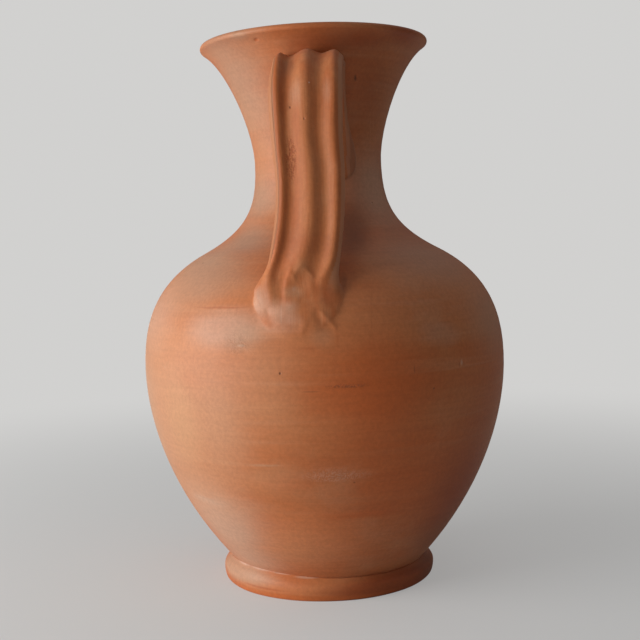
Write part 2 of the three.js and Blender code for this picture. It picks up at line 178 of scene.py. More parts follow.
@dataclass(frozen=True)
class VesselLine:
    """The thrown form's outer line, with the sizes of the CAD part, in millimetres and degrees."""

    seat_height: float = 9.0
    belly_height: float = 161.0
    turn_height: float = 245.0
    waist_height: float = 311.0
    lip_height: float = 398.6
    base_radius: float = 67.9
    belly_radius: float = 135.0
    turn_radius: float = 87.7
    waist_radius: float = 47.5
    lip_radius: float = 84.3
    flank_slope: float = 47.2
    flank_pull: float = 84.0
    belly_pull: float = 30.0
    turn_slope: float = 27.8
    shoulder_pull: float = 46.0
    collar_pull: float = 38.0
    waist_pull_down: float = 31.0
    waist_pull_up: float = 24.0
    lip_slope: float = 32.2
    lip_pull: float = 21.6
    wall: float = 7.0
    lip_thickness: float = 5.0
    groove_pitch: float = 8.6
    groove_depth: float = 0.035
    rhythm_base: float = 0.6
    rhythm_swing: float = 0.4
    rhythm_height: float = 23.0
    out_of_round: float = 0.16
    oval_twist: float = 90.0
    lobe_share: float = 0.5
    lobe_twist: float = 60.0
    true_height: float = 30.0
    samples: int = 400
    foot_tries: int = 12
    foot_step: float = 0.7

    @property
    def lip_centre(self) -> Array:
        """Middle of the lip's rounding."""
        half = self.lip_thickness / 2
        return np.array([self.lip_radius - half, self.lip_height - half])

    @cached_property
    def line(self) -> Array:
        """The outer line from the seat up to the lip.

        Returns:
            Its points, as radius and height.
        """
        up = np.array([0.0, 1.0])
        base = np.array([self.base_radius, self.seat_height])
        belly = np.array([self.belly_radius, self.belly_height])
        turn = np.array([self.turn_radius, self.turn_height])
        waist = np.array([self.waist_radius, self.waist_height])
        flank = base + self.flank_pull * heading(self.flank_slope)
        inwards = heading(180 - self.turn_slope)
        lipwards = heading(self.lip_slope)
        edge = self.lip_centre + self.lip_thickness / 2 * np.array([lipwards[1], -lipwards[0]])
        corners = (
            (base, flank, belly - self.belly_pull * up, belly),
            (belly, belly + self.belly_pull * up, turn - self.shoulder_pull * inwards, turn),
            (turn, turn + self.collar_pull * inwards, waist - self.waist_pull_down * up, waist),
            (waist, waist + self.waist_pull_up * up, edge - self.lip_pull * lipwards, edge),
        )
        return chain([bezier(*points, self.samples) for points in corners])

    @cached_property
    def outward(self) -> Array:
        """Outward direction at each point of the line, as radius and height."""
        along = unit(np.gradient(self.line, axis=0))
        return np.stack([along[:, 1], -along[:, 0]], axis=1)

    @cached_property
    def inner_line(self) -> Array:
        """The inner line: the wall thins from the waist to the lip.

        Returns:
            Its points, as radius and height.
        """
        thinning = smoothstep(self.line[:, 1], self.waist_height, self.lip_height)
        thickness = self.wall + (self.lip_thickness - self.wall) * thinning
        return self.line - thickness[:, None] * self.outward

    def radius(self, height: Array) -> Array:
        """Radius of the outer line at a height."""
        return np.interp(height, self.line[:, 1], self.line[:, 0])

    def outward_at(self, height: Array) -> tuple[Array, Array]:
        """Finds the outward direction at heights.

        Args:
            height: Heights above the table.

        Returns:
            The direction's radial and upright parts.
        """
        radial = np.interp(height, self.line[:, 1], self.outward[:, 0])
        upright = np.interp(height, self.line[:, 1], self.outward[:, 1])
        size = np.hypot(radial, upright)
        return radial / size, upright / size

    def facing_at(self, turn: Array, foot: Array) -> Array:
        """Outward directions at foot points, one to a row."""
        radial, upright = self.outward_at(foot)
        return np.stack([radial * np.cos(turn), radial * np.sin(turn), upright], axis=1)

    def throwing(self, turn: Array, height: Array) -> Array:
        """Finds how far the wheel and the drying left the wall outside its true round.

        Args:
            turn: Angles about the axis, in radians.
            height: Heights above the table.

        Returns:
            The distances, in millimetres.
        """
        spiral = np.sin(FULL_TURN * height / self.groove_pitch + turn)
        rhythm = self.rhythm_base + self.rhythm_swing * np.sin(height / self.rhythm_height)
        oval = np.cos(2 * turn + height / self.oval_twist)
        lobes = self.lobe_share * np.cos(3 * turn - height / self.lobe_twist)
        free = smoothstep(height, self.seat_height, self.seat_height + self.true_height)
        return (self.groove_depth * spiral * rhythm + self.out_of_round * (oval + lobes)) * free

    def foot_points(self, points: Array) -> tuple[Array, Array, Array]:
        """Finds where points stand on the vessel.

        Args:
            points: Positions, one to a row.

        Returns:
            The angle about the axis, the height of the foot point, and the distance off the surface.
        """
        turn = np.arctan2(points[:, 1], points[:, 0])
        distance = np.hypot(points[:, 0], points[:, 1])
        foot = np.clip(points[:, 2], self.line[0, 1], self.line[-1, 1])
        for _ in range(self.foot_tries):
            radial, upright = self.outward_at(foot)
            gap = distance - self.radius(foot) - self.throwing(turn, foot)
            slip = -gap * upright + (points[:, 2] - foot) * radial
            foot = np.clip(foot + self.foot_step * slip * radial, self.line[0, 1], self.line[-1, 1])
        radial, upright = self.outward_at(foot)
        gap = distance - self.radius(foot) - self.throwing(turn, foot)
        return turn, foot, gap * radial + (points[:, 2] - foot) * upright

    def raise_from(self, turn: Array, foot: Array, lift: Array) -> Array:
        """Places points at distances off the surface.

        Args:
            turn: Angles about the axis, in radians.
            foot: Heights of the foot points.
            lift: Distances off the surface.

        Returns:
            The positions, one to a row.
        """
        radial, upright = self.outward_at(foot)
        distance = self.radius(foot) + self.throwing(turn, foot) + lift * radial
        return np.stack([distance * np.cos(turn), distance * np.sin(turn), foot + lift * upright], axis=1)


@dataclass(frozen=True)
class Settling:
    """How the soft vessel leaned while it dried: the neck drifts sideways and the rim tips."""

    start_height: float = 245.0
    end_height: float = 392.0
    drift: float = -1.8
    rim_tilt: float = 0.76
    tilt_start: float = 320.0

    def apply(self, points: Array) -> Array:
        """Moves points by the lean.

        Args:
            points: Positions in millimetres, one to a row.

        Returns:
            The moved positions.
        """
        moved = points.copy()
        lean = smoothstep(points[:, 2], self.start_height, self.end_height)
        slope = math.tan(math.radians(self.rim_tilt))
        tip = smoothstep(points[:, 2], self.tilt_start, self.end_height) * slope
        moved[:, 0] += self.drift * lean
        moved[:, 2] += tip * points[:, 0]
        return moved


def spin_round(name: str, profile: Array, steps: int) -> bpy.types.Mesh:
    """Spins a closed profile about the upright axis.

    Args:
        name: Name of the mesh.
        profile: Points as radius and height, in order round the section.
        steps: Number of steps in the full turn.

    Returns:
        The closed mesh, in millimetres.
    """
    bm = bmesh.new()
    ring = [bm.verts.new((radius, 0.0, height)) for radius, height in profile]
    edges = [bm.edges.new((a, b)) for a, b in zip(ring, ring[1:] + ring[:1])]
    bmesh.ops.spin(
        bm, geom=ring + edges, cent=ORIGIN, axis=UPWARDS, angle=FULL_TURN, steps=steps, use_merge=True
    )
    bmesh.ops.remove_doubles(bm, verts=bm.verts, dist=MERGE_GAP)
    bmesh.ops.recalc_face_normals(bm, faces=bm.faces)
    mesh = bpy.data.meshes.new(name)
    bm.to_mesh(mesh)
    bm.free()
    return mesh


def arc_points(centre: Array, radius: float, start: float, end: float, count: int) -> Array:
    """Samples an arc, between two angles in degrees from level."""
    angles = np.radians(np.linspace(start, end, count))
    return centre + radius * np.stack([np.cos(angles), np.sin(angles)], axis=1)


class ThrownPiece:
    """What the pieces made on the wheel share: their clay, and the one node that each stands for."""

    node: str

    def dress(self, made: bpy.types.Object, clay: bpy.types.Material) -> None:
        """Gives the piece its clay and its place on the frame.

        Args:
            made: The piece's object.
            clay: The piece's material.
        """
        made.data.materials.append(clay)
        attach(made, "root")
        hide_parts(self.node)


@dataclass(frozen=True)
class ThrownSection(ThrownPiece):
    """One section of the vessel, thrown on the wheel and joined to the next while soft."""

    name: str
    node: str
    bottom: float
    top: float
    vessel: VesselLine
    settling: Settling
    ring_steps: int = 256
    spacing: float = 2.0
    seam_steps: tuple[float, ...] = (0.25, 0.6, 1.2)
    seam_room: float = 2.0
    true_radius: float = 5.0
    wander_radius: float = 40.0
    crease: float = 40.0

    def heights(self) -> Array:
        """Places the rings: evenly between the seams, and closer together beside them.

        Returns:
            The rings' heights, from the bottom up.
        """
        seam = np.array(self.seam_steps)
        count = max(2, round((self.top - self.bottom) / self.spacing))
        even = np.linspace(self.bottom + self.seam_room, self.top - self.seam_room, count)
        return np.concatenate([[self.bottom], self.bottom + seam, even, self.top - seam[::-1], [self.top]])

    def stretch(self, line: Array) -> Array:
        """The part of a line between the section's ends, with a ring at each height."""
        heights = self.heights()
        return np.stack([np.interp(heights, line[:, 1], line[:, 0]), heights], axis=1)

    def profile(self) -> Array:
        """The section through the wall, outer side first."""
        return np.vstack([self.stretch(self.vessel.line), self.stretch(self.vessel.inner_line)[::-1]])

    def build(self) -> bpy.types.Object:
        """Builds the section.

        Returns:
            The section as an object.
        """
        mesh = spin_round(self.name, self.profile(), self.ring_steps)
        points = read_points(mesh)
        turn = np.arctan2(points[:, 1], points[:, 0])
        distance = np.hypot(points[:, 0], points[:, 1])
        freedom = smoothstep(distance, self.true_radius, self.wander_radius)
        wander = self.vessel.throwing(turn, points[:, 2]) * freedom
        points[:, 0] += wander * np.cos(turn)
        points[:, 1] += wander * np.sin(turn)
        write_points(mesh, self.settling.apply(points) * MILLIMETRE)
        shade_smooth(mesh, self.crease)
        return link_object(self.name, mesh)


@dataclass(frozen=True)
class LowerBody(ThrownSection):
    """The bowl with the vessel's floor."""

    floor_thickness: float = 9.0
    corner_rise: float = 5.0
    corner_reach: float = 16.0
    corner_steps: int = 10
    floor_steps: int = 9

    def profile(self) -> Array:
        """Lays out the section through floor and wall.

        Returns:
            Its points, from the middle of the underside round to the middle of the floor.
        """
        outer = self.stretch(self.vessel.line)
        inner = self.vessel.inner_line
        floor_top = self.bottom + self.floor_thickness
        corner_top = floor_top + self.corner_rise
        rising = self.heights()
        rising = np.concatenate([[corner_top], rising[rising > corner_top + 1]])
        wall = np.stack([np.interp(rising, inner[:, 1], inner[:, 0]), rising], axis=1)[::-1]
        meeting = np.array([np.interp(floor_top, inner[:, 1], inner[:, 0]), floor_top])
        end = meeting - np.array([self.corner_reach, 0.0])
        t = np.linspace(0.0, 1.0, self.corner_steps)[1:, None]
        corner = (1 - t) ** 2 * wall[-1] + 2 * (1 - t) * t * meeting + t**2 * end
        count = self.floor_steps
        spread = np.linspace(1.0, 0.0, count)
        underside = np.stack([outer[0, 0] * spread[::-1], np.full(count, self.bottom)], axis=1)[:-1]
        floor = np.stack([end[0] * spread, np.full(count, floor_top)], axis=1)[1:]
        return np.vstack([underside, outer, wall, corner, floor])


@dataclass(frozen=True)
class Neck(ThrownSection):
    """The neck with its flare and the rounded lip."""

    lip_steps: int = 12

    def profile(self) -> Array:
        """Lays out the section through the wall, over the lip.

        Returns:
            Its points, up the outer side and down the inner one.
        """
        vessel = self.vessel
        ceiling = vessel.inner_line[-1, 1]
        inner = self.stretch(vessel.inner_line[vessel.inner_line[:, 1] <= ceiling])
        inner = inner[inner[:, 1] < ceiling]
        low, high = vessel.lip_slope - 90, vessel.lip_slope + 90
        lip = arc_points(vessel.lip_centre, vessel.lip_thickness / 2, low, high, self.lip_steps)
        return np.vstack([self.stretch(vessel.line)[:-1], lip, inner[::-1]])


@dataclass(frozen=True)
class FootRing(ThrownPiece):
    """The turned ring that the body stands in: a flat sole, a rounded band and a ledge.

    Turns and spreads are in degrees, and each ripple is its depth, its waves in a full turn and its phase.
    """

    settling: Settling
    name: str = "foot_ring_turned"
    node: str = "foot_ring"
    seat_height: float = 9.0
    bore_radius: float = 61.0
    bore_round: float = 4.0
    sole_radius: float = 78.2
    edge_radius: float = 79.5
    edge_height: float = 1.5
    edge_pull: float = 0.9
    edge_slope: float = 72.0
    band_radius: float = 80.2
    band_height: float = 6.9
    band_slope: float = 78.0
    band_pull_low: float = 1.8
    band_pull_high: float = 2.6
    band_fullness: float = 4.4
    band_share: float = 0.9
    ledge_share: float = 0.7
    ledge_radius: float = 75.2
    ledge_height: float = 14.3
    ledge_slope: float = -50.0
    ledge_reach: float = 69.5
    ledge_rise: float = 0.2
    ledge_pull: float = 2.0
    bead_rise: float = 0.55
    bead_reach: float = 1.1
    bead_pull: float = 0.5
    bead_flat: float = 0.4
    shift: float = -1.0
    ring_steps: int = 288
    rise_start: float = 66.0
    rise_end: float = 69.0
    rise_below: float = 3.0
    high_turn: float = 229.0
    high_spread: float = 33.0
    high_rise: float = 4.5
    low_turn: float = 358.0
    low_spread: float = 55.0
    low_rise: float = -1.6
    cove_rise: float = 2.6
    cove_start: float = 71.2
    cove_end: float = 75.4
    ripples: tuple[tuple[float, int, float], ...] = ((0.12, 5, 0.4), (0.08, 11, 2.0))
    ripple_start: float = 76.0
    ripple_end: float = 79.0
    crease: float = 50.0

    def profile(self) -> Array:
        """Lays out the section through the ring.

        Returns:
            Its points, from the bore along the sole and over the band to the seat.
        """
        up, level = np.array([0.0, 1.0]), heading(0)
        sole = np.array([self.sole_radius, 0.0])
        edge = np.array([self.edge_radius, self.edge_height])
        band = np.array([self.band_radius, self.band_height])
        ledge = np.array([self.ledge_radius, self.ledge_height])
        bead = ledge + np.array([-self.bead_reach, self.bead_rise])
        inner_edge = np.array([self.ledge_reach, self.ledge_height + self.ledge_rise])
        edge_end = edge - self.edge_pull * heading(self.edge_slope)
        band_start = edge + self.band_pull_low * heading(self.band_slope)
        upper_start = band + self.band_fullness * self.band_share * up
        ledge_end = ledge + self.band_fullness * self.ledge_share * heading(self.ledge_slope)
        bead_start = ledge + self.bead_pull * heading(self.ledge_slope + 180)
        inner_start = bead + self.bead_pull * heading(180)
        inner_end = inner_edge + self.ledge_pull * level
        return np.vstack(
            [
                [self.bore_radius, 0.0],
                np.linspace([self.bore_radius + self.bore_round, 0.0], sole, 6),
                bezier(sole, sole + self.edge_pull * level, edge_end, edge, 6)[1:-1],
                bezier(edge, band_start, band - self.band_pull_high * up, band, 9),
                bezier(band, upper_start, ledge_end, ledge, 13)[1:],
                bezier(ledge, bead_start, bead + self.bead_flat * level, bead, 7)[1:],
                bezier(bead, inner_start, inner_end, inner_edge, 8)[1:],
                [self.ledge_reach, self.seat_height],
                [self.bore_radius, self.seat_height],
            ]
        )

    def build(self) -> bpy.types.Object:
        """Builds the ring, with the ledge that the turning left higher on one side.

        Returns:
            The ring as an object.
        """
        mesh = spin_round(self.name, self.profile(), self.ring_steps)
        points = read_points(mesh)
        turn = np.arctan2(points[:, 1], points[:, 0])
        distance = np.hypot(points[:, 0], points[:, 1])
        high = self.swell(turn, self.high_turn, self.high_spread)
        low = self.swell(turn, self.low_turn, self.low_spread)
        top = smoothstep(points[:, 2], self.band_height - self.rise_below, self.ledge_height)
        top *= smoothstep(distance, self.rise_start, self.rise_end)
        points[:, 2] += top * (self.high_rise * high + self.low_rise * low)
        cove = top * (1 - smoothstep(distance, self.cove_start, self.cove_end))
        points[:, 2] += self.cove_rise * cove * low
        ripple = sum(depth * np.sin(waves * turn + phase) for depth, waves, phase in self.ripples)
        outer = smoothstep(distance, self.ripple_start, self.ripple_end)
        points[:, 0] += ripple * outer * np.cos(turn) + self.shift
        points[:, 1] += ripple * outer * np.sin(turn)
        write_points(mesh, self.settling.apply(points) * MILLIMETRE)
        shade_smooth(mesh, self.crease)
        return link_object(self.name, mesh)

    @staticmethod
    def swell(turn: Array, middle: float, spread: float) -> Array:
        """A soft rise round one direction, both given in degrees."""
        away = (turn - math.radians(middle) + math.pi) % FULL_TURN - math.pi
        return np.exp(-((away / math.radians(spread)) ** 2))


def nearest_on(place: Array, start: Array, run: Array) -> tuple[Array, Array]:
    """Finds the point of a straight run that is nearest to each place.

    Args:
        place: Places across and up the wall, in the last axis.
        start: Where the run starts.
        run: From there to its end.

    Returns:
        The share of the run that is passed at the point, and the way from there to the place.
    """
    step = np.clip(((place - start) @ run) / (run @ run), 0.0, 1.0)
    return step, place - start - step[..., None] * run


@dataclass(frozen=True)
class Press:
    """A mark that a finger or a tool left in soft clay, or a lump that it pushed up.

    Across and height place it on the vessel's surface. Lift is positive for a lump and negative for a dent.
    """

    across: float
    height: float
    wide: float
    tall: float
    lift: float
    lean: float = 0.0
    firmness: float = 2.0

    def depth_at(self, across: Array, height: Array) -> Array:
        """Finds how far the mark moves the surface.

        Args:
            across: Places across the wall.
            height: Their heights.

        Returns:
            The distance at each place, positive outwards.
        """
        angle = math.radians(self.lean)
        beside, above = across - self.across, height - self.height
        u = (beside * math.cos(angle) + above * math.sin(angle)) / self.wide
        v = (above * math.cos(angle) - beside * math.sin(angle)) / self.tall
        return self.lift * np.exp(-np.hypot(u, v) ** self.firmness)


@dataclass(frozen=True)
class Stroke:
    """A ridge or a furrow that a fingertip drew in soft clay, along a path of places across and up the wall.

    Its two flanks have widths of their own. The path runs down the wall, so left is left as it is seen.
    """

    path: tuple[Pair, ...]
    lift: float
    left: float
    right: float
    start_fade: float = 0.2
    end_fade: float = 0.4
    firmness: float = 2.0

    def depth_at(self, across: Array, height: Array) -> Array:
        """Finds how far the stroke moves the surface.

        Args:
            across: Places across the wall.
            height: Their heights.

        Returns:
            The distance at each place, positive outwards.
        """
        corners = np.array(self.path)
        place = np.stack([across, height], axis=-1)
        lengths = np.linalg.norm(np.diff(corners, axis=0), axis=1)
        passed = np.concatenate([[0.0], np.cumsum(lengths)]) / lengths.sum()
        nearest = np.full(across.shape, np.inf)
        beside = np.zeros(across.shape)
        share = np.zeros(across.shape)
        for k, (start, end) in enumerate(zip(corners, corners[1:])):
            run = end - start
            step, away = nearest_on(place, start, run)
            gap = np.linalg.norm(away, axis=-1)
            closer = gap < nearest
            nearest = np.where(closer, gap, nearest)
            beside = np.where(closer, run[0] * away[..., 1] - run[1] * away[..., 0], beside)
            share = np.where(closer, passed[k] + step * (passed[k + 1] - passed[k]), share)
        width = np.where(beside < 0, self.left, self.right)
        fade = smoothstep(share, 0.0, self.start_fade) * smoothstep(1.0 - share, 0.0, self.end_fade)
        return self.lift * fade * np.exp(-((nearest / width) ** self.firmness))


class StrapSection(NamedTuple):
    """The strap's section at one place along it: seven lines across, in millimetres from the handle's middle.

    A relief is the depth of that side's groove, as a share of the full depth.
    """

    along: float
    left_edge: float
    left_crest: float
    left_groove: float
    middle_crest: float
    right_groove: float
    right_crest: float
    right_edge: float
    left_relief: float = 1.0
    right_relief: float = 1.0


STRAP_SECTIONS = (
    StrapSection(0, -19.5, -15.6, -9.8, 3.4, 12.8, 22.8, 27.2, 1.3),
    StrapSection(38, -19.8, -15.8, -10.0, 3.4, 12.9, 23.1, 27.4, 1.3),
    StrapSection(47, -21.0, -15.9, -10.2, 3.3, 12.6, 23.0, 27.6, 1.3),
    StrapSection(58, -22.0, -15.8, -10.5, 3.0, 12.6, 22.8, 27.5, 1.2),
    StrapSection(68, -22.0, -15.6, -10.5, 3.0, 12.2, 22.4, 27.1, 1.1),
    StrapSection(77, -21.6, -15.4, -10.5, 3.0, 11.4, 21.8, 26.8),
    StrapSection(87, -21.0, -15.3, -10.5, 2.8, 11.0, 21.8, 26.3),
    StrapSection(97, -20.3, -15.1, -10.4, 3.6, 11.7, 22.2, 26.4),
    StrapSection(107, -19.6, -14.5, -9.8, 4.4, 12.9, 23.0, 26.8),
    StrapSection(117, -19.2, -14.3, -9.7, 4.4, 12.9, 22.6, 26.6),
    StrapSection(126, -19.4, -14.6, -9.8, 4.1, 12.9, 22.2, 26.4),
    StrapSection(136, -20.1, -15.4, -10.5, 3.8, 13.0, 21.6, 25.9),
    StrapSection(146, -21.3, -16.6, -11.3, 3.0, 12.6, 21.0, 25.0),
    StrapSection(155, -22.8, -18.3, -12.7, 1.4, 11.6, 20.2, 23.9),
    StrapSection(162, -24.0, -20.0, -14.3, -0.4, 10.6, 19.4, 23.0),
    StrapSection(168, -25.1, -21.7, -16.1, -2.8, 9.0, 18.0, 22.2),
    StrapSection(173, -26.9, -23.8, -17.8, -5.0, 7.8, 16.0, 21.6, 0.9, 0.95),
    StrapSection(178, -29.4, -24.9, -18.6, -6.4, 6.6, 13.2, 21.6, 0.6, 0.7),
    StrapSection(183, -33.0, -24.4, -18.8, -5.4, 5.6, 10.2, 21.9, 0.25, 0.35),
    StrapSection(187, -35.4, -23.6, -18.6, -4.2, 4.8, 8.4, 22.2, 0.2, 0.2),
    StrapSection(192, -35.4, -23.0, -18.4, -3.4, 4.6, 7.6, 22.4, 0.15, 0.15),
    StrapSection(198, -32.2, -23.0, -18.4, -3.4, 4.6, 7.6, 22.4, 0.1, 0.1),
    StrapSection(204, -28.0, -23.0, -18.4, -3.4, 4.6, 7.6, 22.0, 0.1, 0.1),
)


@dataclass(frozen=True)
class StrapLine:
    """The strap's middle line, from inside the neck over the crook and down into the shoulder."""

    vessel: VesselLine
    spring_drop: float = 26.0
    spring_rise: float = 2.0
    spring_stub: float = 6.0
    reach: float = 103.0
    crook_drop: float = 27.0
    crook_pull_out: float = 0.66
    crook_pull_down: float = 0.6
    slope: float = 84.0
    root_height: float = 207.0
    root_sink: float = 2.8
    drop_pull: float = 55.0
    root_pull: float = 38.0
    stub_samples: int = 40
    crook_samples: int = 300
    drop_samples: int = 500

    @cached_property
    def line(self) -> Array:
        """The middle line.

        Returns:
            Its points, as radius and height.
        """
        vessel = self.vessel
        spring_height = vessel.lip_height - self.spring_drop
        face = float(vessel.radius(spring_height))
        start = np.array([face - vessel.wall, spring_height])
        spring = np.array([face + self.spring_stub, spring_height + self.spring_rise])
        crook = np.array([self.reach, spring[1] - self.crook_drop])
        root = np.array([float(vessel.radius(self.root_height)) - self.root_sink, self.root_height])
        radial, upright = vessel.outward_at(np.array([self.root_height]))
        downhill = np.array([float(upright[0]), -float(radial[0])])
        leaving = (spring - start) / np.linalg.norm(spring - start)
        down = heading(-self.slope)
        over = spring + (crook[0] - spring[0]) * self.crook_pull_out * leaving
        turned = crook - self.crook_drop * self.crook_pull_down * down
        landing = root - self.root_pull * downhill
        return chain(
            [
                np.linspace(start, spring, self.stub_samples),
                bezier(spring, over, turned, crook, self.crook_samples),
                bezier(crook, crook + self.drop_pull * down, landing, root, self.drop_samples),
            ]
        )

    @cached_property
    def along(self) -> Array:
        """Distance along the line at each point."""
        steps = np.linalg.norm(np.diff(self.line, axis=0), axis=1)
        return np.concatenate([[0.0], np.cumsum(steps)])

    @cached_property
    def outward(self) -> Array:
        """Direction of the strap's outer face at each point."""
        run = unit(np.gradient(self.line, axis=0))
        return np.stack([-run[:, 1], run[:, 0]], axis=1)

    def place(self, along: Array, depth: Array) -> tuple[Array, Array]:
        """Finds points beside the line.

        Args:
            along: Distances along the line.
            depth: Distances out of it.

        Returns:
            The points' radii and heights.
        """
        radius = np.interp(along, self.along, self.line[:, 0])
        height = np.interp(along, self.along, self.line[:, 1])
        out_radius = np.interp(along, self.along, self.outward[:, 0])
        out_height = np.interp(along, self.along, self.outward[:, 1])
        return radius + depth * out_radius, height + depth * out_height


@dataclass(frozen=True)
class ClayPatch:
    """A sheet of clay pressed on the vessel: flat with the surface at its border, and raised inside."""

    across: float
    height: float
    half_width: float
    half_height: float
    lumps: tuple[Press, ...] = ()
    outline: tuple[Pair, ...] = ()
    thickness: float = 0.0
    crown: float = 0.0
    crown_run: float = 18.0
    rounding: float = 1.6
    squareness: float = 5.0
    proud: float = 0.03
    border: float = 4.5
    border_drop: float = 1.6
    bury: float = 3.2
    grid: float = 0.9
    fade_height: float = 206.0
    fade_run: float = 16.0

    def border_share(self, across: Array, height: Array) -> Array:
        """Finds how far places are into the border.

        Args:
            across: Places across the wall.
            height: Their heights.

        Returns:
            0 inside the border, and 1 at the patch's edge.
        """
        u = np.abs(across - self.across) / self.half_width
        v = np.abs(height - self.height) / self.half_height
        reach = (u**self.squareness + v**self.squareness) ** (1 / self.squareness)
        inset = (1.0 - reach) * min(self.half_width, self.half_height)
        return 1.0 - np.clip(inset / self.border, 0.0, 1.0)

    def rest(self, across: Array, height: Array) -> Array:
        """Distance off the surface where the patch lies flat."""
        return self.proud - self.border_drop * self.border_share(across, height) ** 2

    def lift(self, across: Array, height: Array) -> Array:
        """Finds how far the patch's outer face stands off the vessel.

        Args:
            across: Places across the wall.
            height: Their heights.

        Returns:
            The distance at each place.
        """
        raised = sum((lump.depth_at(across, height) for lump in self.lumps), np.zeros_like(across))
        if self.outline:
            inset = self.outline_inset(across, height)
            share = np.clip(inset / self.rounding, 0.0, 1.0)
            edge = np.sqrt(1.0 - (1.0 - share) ** 2)
            raised += self.thickness * edge + self.crown * smoothstep(inset, 0.0, self.crown_run)
        return raised + self.rest(across, height)

    def outline_inset(self, across: Array, height: Array) -> Array:
        """Finds how far places are inside the outline.

        Args:
            across: Places across the wall.
            height: Their heights.

        Returns:
            The distance to the outline, negative outside it.
        """
        corners = np.array(self.outline)
        place = np.stack([across, height], axis=-1)
        nearest = np.full(across.shape, np.inf)
        inside = np.zeros(across.shape, bool)
        for start, end in zip(corners, np.roll(corners, -1, axis=0)):
            _, away = nearest_on(place, start, end - start)
            nearest = np.minimum(nearest, np.linalg.norm(away, axis=-1))
            crosses = (start[1] > height) != (end[1] > height)
            slope = (end[0] - start[0]) / (end[1] - start[1] + LEVEL_GUARD)
            inside ^= crosses & (across < start[0] + slope * (height - start[1]))
        return np.where(inside, nearest, -nearest)


NECK_OUTLINE = (
    (-16, 374), (27.3, 374), (26.9, 364), (26.8, 350), (27.1, 337), (29.3, 327), (31.8, 318.5), (33.2, 309.5),
    (32.2, 303), (28.5, 298), (20, 294.5), (3, 293), (-14, 297), (-27, 303), (-31, 313), (-26, 324),
    (-21, 336), (-19, 352),
)

ROOT_LUMPS = (
    Press(-5.5, 216, 23.5, 14.5, 2.4, firmness=3),
    Press(-26, 219, 7, 8, 1.4, lean=-14, firmness=3),
    Press(12.5, 215.5, 8.5, 11, 1.0, lean=4, firmness=3),
    Press(-8, 204, 21, 14, 1.7, firmness=2.4),
)

FRONT_PRESSES = (
    Press(-4.4, 222.6, 5.6, 4.3, -0.6, firmness=2.8),
    Press(-7.6, 223.6, 1.8, 1.8, 0.35),
    Press(-7.5, 212.5, 4.6, 3.6, 0.4, firmness=2.4),
    Stroke(
        ((-8.1, 223.6), (-5.9, 226.4), (-3.1, 227.6), (0.8, 227), (4.1, 224.6), (5.3, 221)),
        0.5,
        1.1,
        1.4,
        end_fade=0.3,
    ),
    Press(-15.5, 209, 8.5, 6, 0.6, firmness=2.5),
    Stroke(((-7.4, 228), (-9.8, 226.4), (-12.3, 222.6), (-13.4, 218), (-13, 213), (-12, 209)), 0.8, 1.6, 5.5),
    Stroke(((-1.5, 227.4), (2.4, 223.6), (3.6, 218.4), (3, 213)), 0.35, 2.0, 2.0, 0.3),
    Stroke(((-27.2, 228), (-25.4, 224), (-23.8, 218.5), (-23, 213), (-24.6, 207)), 0.55, 3.0, 4.0, 0.3, 0.3),
    Stroke(((5.4, 209), (8, 203.6), (10.8, 197.5)), -0.45, 2.4, 2.2, 0.4),
    Stroke(((7.6, 209), (12, 204.2), (16.4, 200), (19, 196.5), (19.8, 192)), 0.42, 1.5, 1.9, 0.25),
    Stroke(((21, 199), (22, 194), (21.6, 188)), -0.2, 2.2, 2.2, 0.3, 0.5),
    Stroke(((-23, 205), (-17, 200.6), (-9, 197)), 0.3, 2.4, 2.0, 0.3, 0.5),
    Stroke(((-26.6, 210), (-24.8, 206.8), (-25.0, 203.6)), -0.4, 1.3, 1.6, 0.3),
    Stroke(((0, 204), (-1.6, 197), (-5, 190)), 0.3, 2.0, 2.4, 0.3, 0.5),
    Press(6, 194, 4.5, 6.5, 0.25, lean=10, firmness=2.6),
)

BACK_PRESSES = (
    Press(-2.5, 220, 7.4, 7.0, -0.7, firmness=2.8),
    Press(-16, 210, 9, 5.5, 0.5, firmness=2.5),
    Stroke(((-6.4, 228), (-9.6, 225), (-11.4, 220), (-11, 213), (-12.4, 207)), 0.6, 1.8, 4.5, 0.2),
    Stroke(((2, 227), (6.2, 222), (7, 215)), 0.5, 2.0, 2.4, 0.3),
    Stroke(((-26, 226), (-24.4, 219), (-25.6, 208)), 0.6, 3.0, 3.6, 0.3, 0.3),
    Stroke(((-18, 206), (-11, 201), (-3, 199)), 0.35, 2.2, 2.2, 0.3, 0.5),
    Stroke(((9, 208), (14, 202.5), (17, 196)), 0.3, 1.8, 1.8, 0.3, 0.5),
)


PRESSES = {Side.FRONT: FRONT_PRESSES, Side.BACK: BACK_PRESSES}


